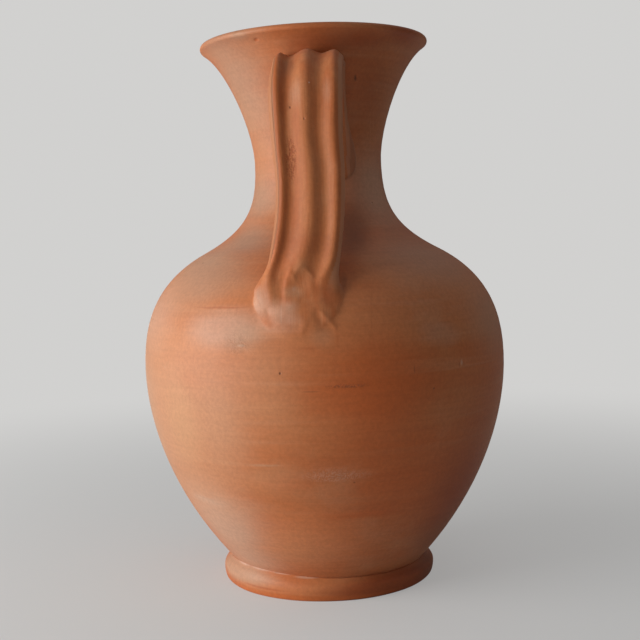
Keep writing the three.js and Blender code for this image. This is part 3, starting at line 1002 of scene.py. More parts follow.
@dataclass(frozen=True)
class StrapHandle:
    """A strap handle with the clay pressed round both of its ends, worked into one skin.

    A crest's or edge's height is a share of the ridge height. A pair says where an ease starts and ends.
    """

    side: Side
    vessel: VesselLine
    settling: Settling
    presses: tuple[Press | Stroke, ...]
    sections: tuple[StrapSection, ...] = STRAP_SECTIONS
    root: ClayPatch = ClayPatch(-4.0, 209.0, 52.0, 37.0, lumps=ROOT_LUMPS)
    neck: ClayPatch = ClayPatch(
        3.0, 334.0, 50.0, 52.0, outline=NECK_OUTLINE, thickness=1.7, crown=1.2, rounding=1.0
    )
    half_thickness: float = 3.2
    bury: float = 2.8
    ridge_height: float = 3.5
    left_edge_height: float = 0.55
    left_crest_height: float = 0.95
    right_groove_height: float = 0.02
    right_crest_height: float = 0.86
    shelf_share: float = 0.5
    shelf_height: float = 0.28
    shelf_rise: float = 0.3
    right_edge_height: float = 0.16
    right_edge_rise: float = 0.22
    edge_squareness: float = 5.0
    spread: Pair = (166.0, 182.0)
    nose_start: float = 180.0
    nose_closing: float = 0.96
    around: int = 120
    stations: int = 260
    voxel: float = 0.94
    join_low: Pair = (0.1, 1.0)
    join_high: Pair = (6.0, 9.0)
    free_low: Pair = (228.0, 240.0)
    free_high: Pair = (290.0, 300.0)
    join_share: float = 0.3
    smoothing: float = 0.5
    skin_passes: int = 4
    root_passes: int = 16
    neck_passes: int = 3
    bedding: Pair = (0.05, 1.1)
    bed_sink: float = -1.4
    bed_facing: float = 0.2
    press_facing: Pair = (0.0, 0.5)
    worked_lift: Pair = (0.02, 0.9)
    spine_step: int = 12

    @property
    def name(self) -> str:
        """Name of the handle's object."""
        return f"{self.side.name.lower()}_handle_worked"

    @cached_property
    def strap_line(self) -> StrapLine:
        """The strap's middle line."""
        return StrapLine(self.vessel)

    @property
    def parting(self) -> float:
        """Height that parts the clay at the root from the clay at the neck."""
        return (self.root.height + self.neck.height) / 2

    def lanes(self, along: Array) -> list[Array]:
        """Gives the section's columns at distances along the strap."""
        rows = np.array(self.sections)
        return [np.interp(along, rows[:, 0], rows[:, k]) for k in range(1, rows.shape[1])]

    def relief(self, along: Array, share: Array) -> tuple[Array, Array]:
        """Finds the place across and the ridge height of points of the outer face.

        Args:
            along: Distances along the strap.
            share: Places across it, from -1 at the left edge to 1 at the right.

        Returns:
            The places across in millimetres, and the ridges' height there as a share of the full height.
        """
        *lines, right, left_relief, right_relief = self.lanes(along)
        left, right_crest = lines[0], lines[-1]
        across = left + (share + 1) / 2 * (right - left)
        spread = smoothstep(along, *self.spread)
        knots = [*lines, right_crest + (right - right_crest) * self.shelf_share, right]
        heights = [
            self.left_edge_height,
            self.left_crest_height,
            1.0 - left_relief,
            1.0,
            self.right_groove_height + (1.0 - right_relief),
            self.right_crest_height,
            self.shelf_height + self.shelf_rise * spread,
            self.right_edge_height + self.right_edge_rise * spread,
        ]
        height = np.zeros_like(across)
        for low, high, below, above in zip(knots, knots[1:], heights, heights[1:]):
            run = np.clip((across - low) / (high - low), 0.0, 1.0)
            eased = (1 - np.cos(math.pi * run)) / 2
            here = (across >= low) & (across <= high)
            height = np.where(here, below + (above - below) * eased, height)
        return across, height

    def add_strap(self, bm: bmesh.types.BMesh) -> None:
        """Adds the strap: a tube of many rings, each laid out to the section at its place.

        Args:
            bm: An empty mesh.
        """
        bmesh.ops.create_cone(bm, cap_ends=True, segments=self.around, radius1=1, radius2=1, depth=1)
        uprights = [e for e in bm.edges if abs(e.verts[0].co.z - e.verts[1].co.z) > 0.5]
        bmesh.ops.subdivide_edges(bm, edges=uprights, cuts=self.stations - 2)
        verts = list(bm.verts)
        tube = np.array([v.co for v in verts])
        line = self.strap_line
        length = line.along[-1]
        along = (tube[:, 2] + 0.5) * length
        share = np.clip(tube[:, 0], -1.0, 1.0)
        across, ridge = self.relief(along, share)
        edge = np.sqrt(1.0 - np.abs(share) ** self.edge_squareness)
        nose = np.clip((along - self.nose_start) / (length - self.nose_start), 0.0, 1.0)
        closing = np.sqrt(1.0 - self.nose_closing * nose**2)
        outer = edge * (self.half_thickness + self.ridge_height * ridge) * closing
        depth = np.where(tube[:, 1] >= 0, outer, -edge * self.half_thickness * closing)
        radius, height = line.place(along, depth)
        skin = np.sqrt(np.maximum((self.vessel.radius(height) - self.bury) ** 2 - across**2, 0.0))
        for vert, x, r, z in zip(verts, across, np.maximum(radius, skin), height):
            vert.co = (x, -r, z)

    def add_patch(self, bm: bmesh.types.BMesh, patch: ClayPatch) -> None:
        """Adds a clay patch: a slab between its outer face and a face buried in the wall.

        Args:
            bm: The mesh that the slab is added to.
            patch: The patch.
        """
        before = set(bm.verts)
        columns = round(2 * patch.half_width / patch.grid)
        rows = round(2 * patch.half_height / patch.grid)
        bmesh.ops.create_grid(bm, x_segments=columns, y_segments=rows, size=1)
        sheet = [f for f in bm.faces if not before.intersection(f.verts)]
        raised = bmesh.ops.extrude_face_region(bm, geom=sheet, use_keep_orig=True)
        upper = [g for g in raised["geom"] if isinstance(g, bmesh.types.BMVert)]
        bmesh.ops.translate(bm, verts=upper, vec=(0, 0, 1))
        verts = [v for v in bm.verts if v not in before]
        laid = np.array([v.co for v in verts])
        across = patch.across + laid[:, 0] * patch.half_width
        height = patch.height + laid[:, 1] * patch.half_height
        lift = np.where(laid[:, 2] > 0.5, patch.lift(across, height), -patch.bury)
        turn = across / self.vessel.radius(height) - math.pi / 2
        for vert, place in zip(verts, self.vessel.raise_from(turn, height, lift)):
            vert.co = place

    def fuse(self, bm: bmesh.types.BMesh) -> bpy.types.Mesh:
        """Works the strap and its clay into one skin.

        Args:
            bm: Strap and patches, overlapping where they are joined.

        Returns:
            The one closed skin.
        """
        bmesh.ops.recalc_face_normals(bm, faces=bm.faces)
        loose = bpy.data.meshes.new(self.name + "_parts")
        bm.to_mesh(loose)
        carrier = link_object(self.name + "_parts", loose)
        working = carrier.modifiers.new("working", "REMESH")
        working.mode = "VOXEL"
        working.voxel_size = self.voxel
        graph = bpy.context.evaluated_depsgraph_get()
        skin = bpy.data.meshes.new_from_object(carrier.evaluated_get(graph))
        skin.name = self.name
        bpy.data.objects.remove(carrier)
        bpy.data.meshes.remove(loose)
        return skin

    def rest_lift(self, turn: Array, foot: Array) -> Array:
        """Distance off the surface at which the clay patches lie flat, at foot points."""
        across = (turn + math.pi / 2) * self.vessel.radius(foot)
        return np.where(foot < self.parting, self.root.rest(across, foot), self.neck.rest(across, foot))

    def smooth(self, mesh: bpy.types.Mesh) -> None:
        """Takes the remesh's steps off the skin, and rounds the joins between strap and clay.

        Args:
            mesh: The skin.
        """
        _, foot, lift = self.vessel.foot_points(read_points(mesh))
        near = smoothstep(lift, *self.join_low) * (1 - smoothstep(lift, *self.join_high))
        near *= 1 - smoothstep(foot, *self.free_low) * (1 - smoothstep(foot, *self.free_high))
        bm = bmesh.new()
        bm.from_mesh(mesh)
        every = list(bm.verts)
        joins = [(v, z) for v, share, z in zip(every, near, foot) if share > self.join_share]
        root_joins = [v for v, z in joins if z < self.parting]
        neck_joins = [v for v, z in joins if z > self.parting]
        axes = {"use_axis_x": True, "use_axis_y": True, "use_axis_z": True}
        amounts = (self.skin_passes, self.root_passes, self.neck_passes)
        for verts, passes in zip((every, root_joins, neck_joins), amounts):
            for _ in range(passes):
                bmesh.ops.smooth_vert(bm, verts=verts, factor=self.smoothing, **axes)
        bm.to_mesh(mesh)
        bm.free()

    def bed(self, mesh: bpy.types.Mesh) -> None:
        """Lays the flat part of the clay exactly on the vessel, and lets what is raised run into it.

        Args:
            mesh: The skin.
        """
        points = read_points(mesh)
        turn, foot, lift = self.vessel.foot_points(points)
        upward = (read_normals(mesh) * self.vessel.facing_at(turn, foot)).sum(axis=1)
        rest = self.rest_lift(turn, foot)
        above = lift - rest
        kept = np.maximum(above, 0.0) * smoothstep(above, *self.bedding)
        low = (upward > self.bed_facing) & (above < self.bedding[1]) & (above > self.bed_sink)
        bedded = self.vessel.raise_from(turn, foot, np.where(low, rest + kept, lift))
        points[low] = bedded[low]
        write_points(mesh, points)

    def press(self, mesh: bpy.types.Mesh) -> None:
        """Presses the finger marks into the clay on its outer side.

        Args:
            mesh: The skin.
        """
        points = read_points(mesh)
        turn, foot, lift = self.vessel.foot_points(points)
        outward = self.vessel.facing_at(turn, foot)
        depth = sum((mark.depth_at(points[:, 0], foot) for mark in self.presses), np.zeros(len(points)))
        depth *= smoothstep((read_normals(mesh) * outward).sum(axis=1), *self.press_facing)
        clay = np.maximum(lift - self.rest_lift(turn, foot), 0.0)
        depth = np.where(depth < 0, -np.minimum(-depth, clay), depth)
        write_points(mesh, points + depth[:, None] * outward)

    def mark_worked(self, mesh: bpy.types.Mesh) -> None:
        """Writes the two attributes that the finish reads: the clay worked on the wall, and the lanes.

        Args:
            mesh: The skin.
        """
        points = read_points(mesh)
        turn, foot, lift = self.vessel.foot_points(points)
        share = smoothstep(lift - self.rest_lift(turn, foot), *self.worked_lift)
        share *= 1 - smoothstep(self.root.fade_height - foot, 0.0, self.root.fade_run)
        layer = mesh.attributes.new(LutedClay.worked, "FLOAT", "POINT")
        layer.data.foreach_set("value", share)
        layer = mesh.attributes.new(LutedClay.lane, "FLOAT_VECTOR", "POINT")
        layer.data.foreach_set("vector", self.lane_places(points).ravel())

    def lane_places(self, points: Array) -> Array:
        """Finds where points lie on the strap, for a finish that follows its ridges.

        Args:
            points: Positions, one to a row.

        Returns:
            Rows of the lane (0 at the left edge, 3 on the middle crest, 6 at the right edge), the distance
            along the strap, and the place across it.
        """
        marks = slice(None, None, self.spine_step)
        spine, passed = self.strap_line.line[marks], self.strap_line.along[marks]
        place = np.stack([-points[:, 1], points[:, 2]], axis=1)
        nearest = np.linalg.norm(place[:, None, :] - spine[None], axis=2).argmin(axis=1)
        along = passed[nearest]
        *lines, _, _ = self.lanes(along)
        lane = np.zeros(len(points))
        for low, high in zip(lines, lines[1:]):
            lane += np.clip((points[:, 0] - low) / (high - low), 0.0, 1.0)
        return np.stack([lane, along, points[:, 0]], axis=1)

    def build(self) -> bpy.types.Object:
        """Builds the handle.

        Returns:
            The handle as an object.
        """
        bm = bmesh.new()
        self.add_strap(bm)
        self.add_patch(bm, self.root)
        self.add_patch(bm, self.neck)
        mesh = self.fuse(bm)
        bm.free()
        self.smooth(mesh)
        self.bed(mesh)
        self.press(mesh)
        self.mark_worked(mesh)
        turned = Matrix.Rotation(math.radians(self.side.value), 3, "Z")
        points = read_points(mesh) @ np.array(turned).T
        write_points(mesh, self.settling.apply(points) * MILLIMETRE)
        mesh.shade_smooth()
        return link_object(self.name, mesh)

    def dress(self, made: bpy.types.Object, clay: bpy.types.Material) -> None:
        """Gives the handle its clay and its place on the frame.

        Args:
            made: The handle's object.
            clay: The handle's material.
        """
        made.data.materials.append(clay)
        side = self.side.name.lower()
        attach(made, "root")
        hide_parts(f"{side}_handle_strap", f"{side}_handle_neck_pad", f"{side}_handle_root_pad")


class Sketch:
    """Draws nodes in a tree and joins them. A number or a colour may stand where a socket is asked for."""

    def __init__(self, tree: bpy.types.NodeTree) -> None:
        """Starts on a tree."""
        self.tree = tree

    def node(self, kind: str, inputs: dict | None = None, **settings: object) -> bpy.types.Node:
        """Adds a node.

        Args:
            kind: The node's type.
            inputs: Values or sockets for its inputs, by name or number.
            settings: Values for its properties.

        Returns:
            The node.
        """
        made = self.tree.nodes.new(kind)
        for name, value in settings.items():
            setattr(made, name, value)
        for name, value in (inputs or {}).items():
            self.feed(made.inputs[name], value)
        return made

    def feed(self, socket: Socket, value: object) -> None:
        """Joins a socket to another, or sets its value.

        Args:
            socket: The input to feed.
            value: The socket or the value that feeds it.
        """
        if isinstance(value, Socket):
            self.tree.links.new(value, socket)
        else:
            socket.default_value = value

    def place(self) -> Socket:
        """Adds the object's own coordinates."""
        return self.node("ShaderNodeTexCoord").outputs["Object"]

    def math(self, operation: str, first: object, second: object = 0.0) -> Socket:
        """Adds a sum and gives its result."""
        return self.node("ShaderNodeMath", {0: first, 1: second}, operation=operation).outputs[0]

    def times(self, first: object, *others: object) -> Socket:
        """Adds a product and gives its result.

        Args:
            first: The first factor.
            others: The other factors, in order.

        Returns:
            The product's socket.
        """
        for other in others:
            first = self.math("MULTIPLY", first, other)
        return first

    def vector(self, operation: str, first: object, second: object) -> Socket:
        """Adds a sum of vectors and gives its result."""
        return self.node("ShaderNodeVectorMath", {0: first, 1: second}, operation=operation).outputs[0]

    def scaled(self, vector: object, amount: object) -> Socket:
        """Adds a scaled vector or colour."""
        return self.node("ShaderNodeVectorMath", {0: vector, 3: amount}, operation="SCALE").outputs[0]

    def length(self, vector: object) -> Socket:
        """Adds a vector's length."""
        return self.node("ShaderNodeVectorMath", {0: vector}, operation="LENGTH").outputs["Value"]

    def noise(self, place: object, scale: float, detail: object, rough: object = 0.5) -> bpy.types.Node:
        """Adds noise: its first output is a value and its second a colour."""
        inputs = {"Vector": place, "Scale": scale, "Detail": detail, "Roughness": rough}
        return self.node("ShaderNodeTexNoise", inputs)

    def ease(
        self, value: object, low: object, high: object, start: float = 0.0, end: float = 1.0
    ) -> Socket:
        """Adds a smooth step between two values and gives its result."""
        inputs = {"Value": value, "From Min": low, "From Max": high, "To Min": start, "To Max": end}
        return self.node("ShaderNodeMapRange", inputs, interpolation_type="SMOOTHSTEP").outputs[0]

    def blend(self, share: object, first: object, second: object) -> Socket:
        """Adds a mix of two colours and gives its result."""
        return self.node("ShaderNodeMix", {0: share, 6: first, 7: second}, data_type="RGBA").outputs[2]

    def stain(self, colour: object, mask: object, tint: Colour, amount: float = 1.0) -> Socket:
        """Blends a tint into a colour where a mask is, by an amount: stains, and painted light and shade
        alike.
        """
        return self.blend(self.times(mask, amount), colour, (*tint, 1.0))


class Effect:
    """A shader node group that the clays share, built once and placed with its own values."""

    name: ClassVar[str]
    inputs: ClassVar[dict[str, float | Place]]
    outputs: ClassVar[tuple[str, ...]] = ("Mask",)

    def group(self) -> bpy.types.NodeTree:
        """Gives the group, and builds it the first time.

        Returns:
            The group's tree.
        """
        found = bpy.data.node_groups.get(self.name)
        if found:
            return found
        made = bpy.data.node_groups.new(self.name, "ShaderNodeTree")
        for label, value in self.inputs.items():
            kind = "NodeSocketVector" if isinstance(value, tuple) else "NodeSocketFloat"
            socket = made.interface.new_socket(label, in_out="INPUT", socket_type=kind)
            socket.default_value = value
        for label in self.outputs:
            made.interface.new_socket(label, in_out="OUTPUT", socket_type="NodeSocketFloat")
        sketch = Sketch(made)
        given = sketch.node("NodeGroupInput")
        result = sketch.node("NodeGroupOutput")
        for label, socket in self.draw(sketch, given.outputs).items():
            sketch.feed(result.inputs[label], socket)
        return made

    def draw(self, sketch: Sketch, given: Items) -> dict[str, Socket]:
        """Draws the group's nodes from what is given to it, and names its results."""
        raise NotImplementedError

    def place(self, sketch: Sketch, **values: object) -> bpy.types.Node:
        """Places the group in a material.

        Args:
            sketch: The material's tree.
            values: Values for the group's inputs, with underscores for spaces.

        Returns:
            The group node.
        """
        node = sketch.node("ShaderNodeGroup", node_tree=self.group())
        for label, value in values.items():
            sketch.feed(node.inputs[label.replace("_", " ")], value)
        return node


class DrawnStreaks(Effect):
    """Streaks drawn out by the wheel or the pull of the hand: noise stretched level or upright."""

    name = "drawn_streaks"
    inputs = {"Level": 6.0, "Upright": 160.0, "Detail": 3.0, "Rough": 0.55}

    def draw(self, sketch: Sketch, given: Items) -> dict[str, Socket]:
        """Draws stretched noise on the object's own coordinates.

        Args:
            sketch: The group's tree.
            given: The group's inputs.

        Returns:
            The mask.
        """
        level = given["Level"]
        scale = sketch.node("ShaderNodeCombineXYZ", {0: level, 1: level, 2: given["Upright"]}).outputs[0]
        stretched = sketch.vector("MULTIPLY", sketch.place(), scale)
        return {"Mask": sketch.noise(stretched, 1.0, given["Detail"], given["Rough"]).outputs[0]}

    def mask(
        self, sketch: Sketch, level: object, upright: object, detail: float = 3.0, rough: float = 0.55
    ) -> Socket:
        """Places the streaks in a tree and gives their mask."""
        return self.place(sketch, Level=level, Upright=upright, Detail=detail, Rough=rough).outputs[0]


class PlacedMark(Effect):
    """A soft mark at one place on the clay, with a border that wanders."""

    name = "placed_mark"
    inputs = {"Centre": ORIGIN, "Radii": (0.02, 0.02, 0.02), "Wander": 0.01, "Firm": 0.2}
    border_scale = (30.0, 30.0, 95.0)
    border_middle = (0.5, 0.5, 0.5)

    def draw(self, sketch: Sketch, given: Items) -> dict[str, Socket]:
        """Draws a ball of mask about the centre.

        Args:
            sketch: The group's tree.
            given: The group's inputs.

        Returns:
            The mask.
        """
        place = sketch.place()
        noise = sketch.noise(sketch.vector("MULTIPLY", place, self.border_scale), 1.0, 3.0).outputs[1]
        stray = sketch.scaled(sketch.vector("SUBTRACT", noise, self.border_middle), given["Wander"])
        moved = sketch.vector("ADD", place, stray)
        away = sketch.vector("DIVIDE", sketch.vector("SUBTRACT", moved, given["Centre"]), given["Radii"])
        return {"Mask": sketch.ease(sketch.length(away), given["Firm"], 1.0, 1.0, 0.0)}


class ClaySkin(Effect):
    """The skin of fired clay: fine grain, drawn streaks and a few burst pits. Heights in millimetres."""

    name = "clay_skin"
    inputs = {"Grain": 0.02, "Streaks": 0.02, "Level": 14.0, "Upright": 420.0, "Pit Share": 0.12}
    outputs = ("Height", "Pits")
    grain_scale = 620.0
    pit_scale = 75.0
    pit_size = (0.02, 0.075)
    pit_depth = 0.25

    def draw(self, sketch: Sketch, given: Items) -> dict[str, Socket]:
        """Draws grain, streaks and pits, and adds their heights.

        Args:
            sketch: The group's tree.
            given: The group's inputs.

        Returns:
            The height and the pits' mask.
        """
        place = sketch.place()
        grain = sketch.noise(place, self.grain_scale, 4.0, 0.6).outputs[0]
        drawn = DrawnStreaks().mask(sketch, given["Level"], given["Upright"], 4.0, 0.6)
        spots = {"Vector": place, "Scale": self.pit_scale, "Randomness": 1.0}
        cells = sketch.node("ShaderNodeTexVoronoi", spots)
        lot = sketch.node("ShaderNodeSeparateColor", {0: cells.outputs["Color"]}).outputs[0]
        chosen = sketch.math("LESS_THAN", lot, given["Pit Share"])
        pits = sketch.times(sketch.ease(cells.outputs["Distance"], *self.pit_size, 1.0, 0.0), chosen)
        height = sketch.times(grain, given["Grain"])
        height = sketch.math("ADD", height, sketch.times(drawn, given["Streaks"]))
        return {"Height": sketch.math("SUBTRACT", height, sketch.times(pits, self.pit_depth)), "Pits": pits}


@dataclass(frozen=True)
class Mark:
    """A patch of other colour on the clay, placed in millimetres; some are the clay's own, some painted light
    and shade. Colours are linear.

    Wander is how far its border strays, firm the share of it that is full, and relief its height in the clay.
    """

    centre: Place
    radii: Place
    colour: Colour
    amount: float = 0.5
    wander: float = 12.0
    firm: float = 0.1
    relief: float = 0.0
    speckled: bool = False

    def mask(self, sketch: Sketch) -> Socket:
        """Places the mark in a material.

        Args:
            sketch: The material's tree.

        Returns:
            The mark's mask.
        """
        centre = tuple(MILLIMETRE * v for v in self.centre)
        radii = tuple(MILLIMETRE * v for v in self.radii)
        wander = MILLIMETRE * self.wander
        node = PlacedMark().place(sketch, Centre=centre, Radii=radii, Wander=wander, Firm=self.firm)
        return node.outputs["Mask"]


PINK = (0.45, 0.255, 0.155)
ROSE = (0.52, 0.305, 0.200)
MAUVE = (0.375, 0.218, 0.138)
TAN = (0.49, 0.235, 0.120)
ORANGE = (0.52, 0.108, 0.019)
BRIGHT = (0.62, 0.185, 0.058)
RED = (0.47, 0.118, 0.031)
FLAME = (0.47, 0.108, 0.018)
SIENNA = (0.38, 0.16, 0.068)
RUST = (0.35, 0.082, 0.012)
STRAW = (0.52, 0.262, 0.125)
DUN = (0.42, 0.215, 0.125)
GREY = (0.46, 0.215, 0.118)
UMBER = (0.32, 0.063, 0.012)
# Chalky specks, and painted highlight on the ring's ledge.
CHALK_AND_HIGHLIGHT = (0.60, 0.40, 0.30)
# Pale bloom of the clay, and painted sheen on the side towards the lamp.
BLOOM_AND_SHEEN = (0.52, 0.288, 0.188)
# Painted shade: a dark brown laid where shadow and shade fall.
PAINTED_SHADE = (0.22, 0.062, 0.020)
# Burst pits, and painted shadow where it is laid as a mark.
PIT_AND_SHADOW = (0.16, 0.050, 0.020)

BODY_MARKS = (
    # Here and below, the pale marks on the left, the side towards the lamp, are partly painted highlight and
    # partly the clay's own paler patches.
    Mark((-140, -40, 120), (75, 120, 150), PINK, 0.9, 16),
    Mark((-100, -95, 120), (62, 70, 130), TAN, 0.85, 16),
    Mark((-68, -82, 50), (66, 70, 58), ROSE, 0.85, 14),
    Mark((0, -105, 45), (62, 60, 44), BRIGHT, 0.85, 14),
    Mark((-62, -50, 350), (55, 70, 95), MAUVE, 0.85),
    Mark((-48, -35, 285), (38, 55, 34), MAUVE, 0.8),
    Mark((-88, -70, 245), (66, 75, 40), PINK, 0.85),
    Mark((75, -60, 238), (80, 70, 30), GREY, 0.75),
    Mark((45, -30, 290), (40, 50, 46), ROSE, 0.7),
    Mark((44, -118, 155), (62, 60, 62), ORANGE, 0.85),
    Mark((58, -95, 95), (70, 70, 60), ORANGE, 0.7),
    # Umber and dark on the lower right, away from the lamp: painted shade.
    Mark((104, -60, 62), (58, 70, 76), UMBER, 0.9),
    Mark((106, -60, 110), (46, 70, 80), UMBER, 0.42, 14),
    Mark((84, -50, 38), (38, 50, 36), PAINTED_SHADE, 0.4),
    # Umber under the lip and at its right end: painted shade.
    Mark((65, -43, 396), (24, 45, 11), UMBER, 0.85, 3),
    Mark((36, -72, 388), (72, 45, 10), UMBER, 0.65, 4),
    Mark((-56, -117, 197), (45, 40, 19), BLOOM_AND_SHEEN, 0.65, 7, 0.3),
    Mark((-114, -55, 203), (42, 62, 36), BLOOM_AND_SHEEN, 0.6),
    Mark((-137, -25, 150), (15, 60, 90), BLOOM_AND_SHEEN, 0.6),
    Mark((-42, -124, 192), (22, 20, 14), PINK, 0.5),
    Mark((86, -101, 190), (26, 26, 12), GREY, 0.5, 16),
    Mark((-22, -121, 95), (30, 30, 9), ORANGE, 0.5),
    Mark((31, -106, 69), (42, 30, 6), ORANGE, 0.6),
    Mark((12, -124, 102), (32, 30, 9), GREY, 0.1, 14),
    Mark((18, -124, 100), (32, 30, 6.5), CHALK_AND_HIGHLIGHT, 0.22, 8, 0.2, 0.12, True),
    Mark((-77, -82, 74), (30, 30, 6), ROSE, 0.65, 14),
    Mark((-31, -122, 107), (16, 20, 1.3), PINK, 0.4, 4, 0.2, 0.05),
    Mark((-60, -110, 210.5), (26, 40, 0.9), UMBER, 0.4, 2.5, 0.3, -0.03),
    Mark((-88, -88, 213), (38, 50, 16), DUN, 0.4, 8),
    Mark((-90, -98, 131), (26, 32, 42), STRAW, 0.5, 14),
    Mark((-103, -84, 168.5), (1.3, 4, 1.8), CHALK_AND_HIGHLIGHT, 0.6, 0.6),
    Mark((-43, -126, 186.5), (4, 5, 1.3), ROSE, 0.7, 2, 0.2, 0.25),
    Mark((-46, -124, 187), (16, 20, 11), UMBER, 0.12, 6, 0.2, -0.14, True),
    Mark((2, -135, 157), (9, 5, 0.6), PIT_AND_SHADOW, 0.5, 0.8),
    Mark((100, -90, 168.7), (1.2, 5, 3.0), ROSE, 0.6, 1.2, 0.2, 0.15),
    Mark((98.4, -91.5, 167.6), (0.7, 5, 2.6), PIT_AND_SHADOW, 0.5, 0.8),
    Mark((-52, -60, 24), (42, 50, 18), ROSE, 0.55, 8),
    Mark((-68, -85, 226), (56, 60, 19), DUN, 0.65, 9),
    # Umber on the neck's right, behind the handle: painted shade.
    Mark((38, -40, 352), (36, 40, 46), UMBER, 0.45, 8),
    # Dark marks right of the front handle: its painted shadow on the shoulder and painted shade in the gap
    # beside its root.
    Mark((21, -75, 260), (19, 55, 38), PAINTED_SHADE, 0.9, 3, 0.25),
    Mark((24, -112, 225), (3, 14, 13), PAINTED_SHADE, 0.5, 1),
    Mark((31, -72, 264), (18, 50, 38), PIT_AND_SHADOW, 0.7, 4),
    Mark((26, -95, 234), (14, 40, 16), UMBER, 0.35, 5),
    Mark((-15, -126, 202), (20, 22, 12), BLOOM_AND_SHEEN, 0.55, 9),
    Mark((-28, -128, 158), (34, 60, 54), STRAW, 0.35, 14),
    Mark((-28, -124, 97), (34, 50, 18), STRAW, 0.4, 8),
    Mark((-14, -112, 38), (44, 60, 34), STRAW, 0.35, 12),
    Mark((10, -128, 192), (11, 22, 10), TAN, 0.35, 4),
    Mark((2, -130, 184.5), (8, 16, 1.6), UMBER, 0.3, 2),
    Mark((20, -126, 189), (1.8, 16, 8), UMBER, 0.3, 2.5),
    Mark((25, -132, 160.0), (19, 12, 1.6), PIT_AND_SHADOW, 0.55, 1, 0.3, -0.2, True),
    Mark((68.6, -116.5, 168), (0.7, 4, 4.2), PIT_AND_SHADOW, 0.45, 0.8),
    Mark((-17, -134, 169), (1.0, 3, 1.0), PIT_AND_SHADOW, 0.8, 0.3, 0.3, -0.4),
    Mark((-46, -69, 394), (12, 10, 3.2), PINK, 0.5, 4, 0.2, 0.35),
    Mark((-34, -72, 390.6), (2.6, 4, 1.6), RED, 0.8, 1, 0.2, -0.4),
    Mark((32, -53, 364), (1.4, 3, 4.0), PIT_AND_SHADOW, 0.95, 0.5, 0.3, -0.7),
    Mark((-60, -115, 130), (34, 50, 70), TAN, 0.7, 14),
    Mark((-46, -58, 256), (34, 45, 15), MAUVE, 0.7),
    Mark((122, -45, 195), (40, 60, 36), GREY, 0.7),
)

RING_MARKS = (
    # Umber and dark on the ring's right, away from the lamp: painted shade.
    Mark((50, -50, 4), (75, 70, 15), UMBER, 0.9, 4, 0.5),
    Mark((74, -20, 9), (24, 44, 15), PAINTED_SHADE, 0.55, 4),
    Mark((-68, -46, 4), (16, 30, 7), UMBER, 0.3, 3),
    # Pink on the band's left front, towards the lamp: partly painted highlight, partly the clay's own colour.
    Mark((-60, -42, 13), (46, 54, 11), PINK, 0.85, 3, 0.4),
    Mark((-10, -70, 1.2), (95, 60, 4.0), FLAME, 0.7, 2, 0.4),
    Mark((-42, -66, 6.3), (28, 22, 1.2), UMBER, 0.45, 1.0, 0.3),
    # A thin dark line at the ring's foot on the right: painted contact shadow.
    Mark((30, -74, 0), (66, 44, 1.4), PIT_AND_SHADOW, 0.75, 0.6),
    # Pale lines on the ledge's bead at the left front: painted highlight where the ledge catches the lamp.
    Mark((-58, -46, 18.4), (11, 12, 1.5), CHALK_AND_HIGHLIGHT, 0.75, 0.5, 0.3),
    Mark((-44, -61, 18.8), (17, 14, 1.9), CHALK_AND_HIGHLIGHT, 0.8, 0.5, 0.3),
    Mark((-27, -70, 18.0), (13, 12, 1.5), CHALK_AND_HIGHLIGHT, 0.75, 0.5, 0.3),
    Mark((-10, -74, 16.2), (12, 12, 1.2), CHALK_AND_HIGHLIGHT, 0.5, 0.5, 0.3),
)

STRAP_MARKS = (
    # Rose on the root's left lobe, which faces the lamp: partly painted highlight, partly the clay's paler
    # colour.
    Mark((-31, -118, 213), (13, 22, 15), ROSE, 0.75, 4),
    Mark((-17, -122, 208), (16, 20, 11), ROSE, 0.75, 5),
    # Two pink spots on the crook's ridges: painted highlights.
    Mark((-4.8, -112, 351), (6, 14, 15), PINK, 0.45, 3),
    Mark((15.5, -112, 351), (5.5, 14, 14), PINK, 0.4, 3),
    Mark((4.5, -112, 355.4), (0.8, 9, 0.8), CHALK_AND_HIGHLIGHT, 1.0, 0.1, 0.5, 0.15),
    Mark((-8.4, -110, 340), (0.9, 14, 1.1), PIT_AND_SHADOW, 0.9, 0.2, 0.4, -0.4),
    Mark((-8.4, -108, 307), (5, 20, 19), UMBER, 0.9, 3, 0.4, -0.25, True),
    # Dark in the top of the left groove: painted shade.
    Mark((-9.5, -100, 368), (7, 40, 11), PAINTED_SHADE, 0.6, 2),
    Mark((-8, -122, 220), (9, 22, 6.5), TAN, 0.8, 3),
    Mark((-3.5, -122, 237), (6, 20, 9), STRAW, 0.35, 3),
    Mark((-11, -124, 203), (13, 22, 8), BLOOM_AND_SHEEN, 0.6, 4),
    Mark((-10.5, -122, 211), (8.5, 22, 6), ROSE, 0.55, 4),
    Mark((-2, -118, 252), (38, 40, 14), UMBER, 0.3, 6),
    Mark((13, -122, 219), (8, 20, 11), UMBER, 0.45, 3),
    Mark((-7.6, -122, 222.4), (2.2, 9, 2.4), ROSE, 0.5, 0.6),
    Mark((1, -112, 332), (0.8, 6, 1.2), PIT_AND_SHADOW, 0.5, 0.2, 0.3, -0.3),
)


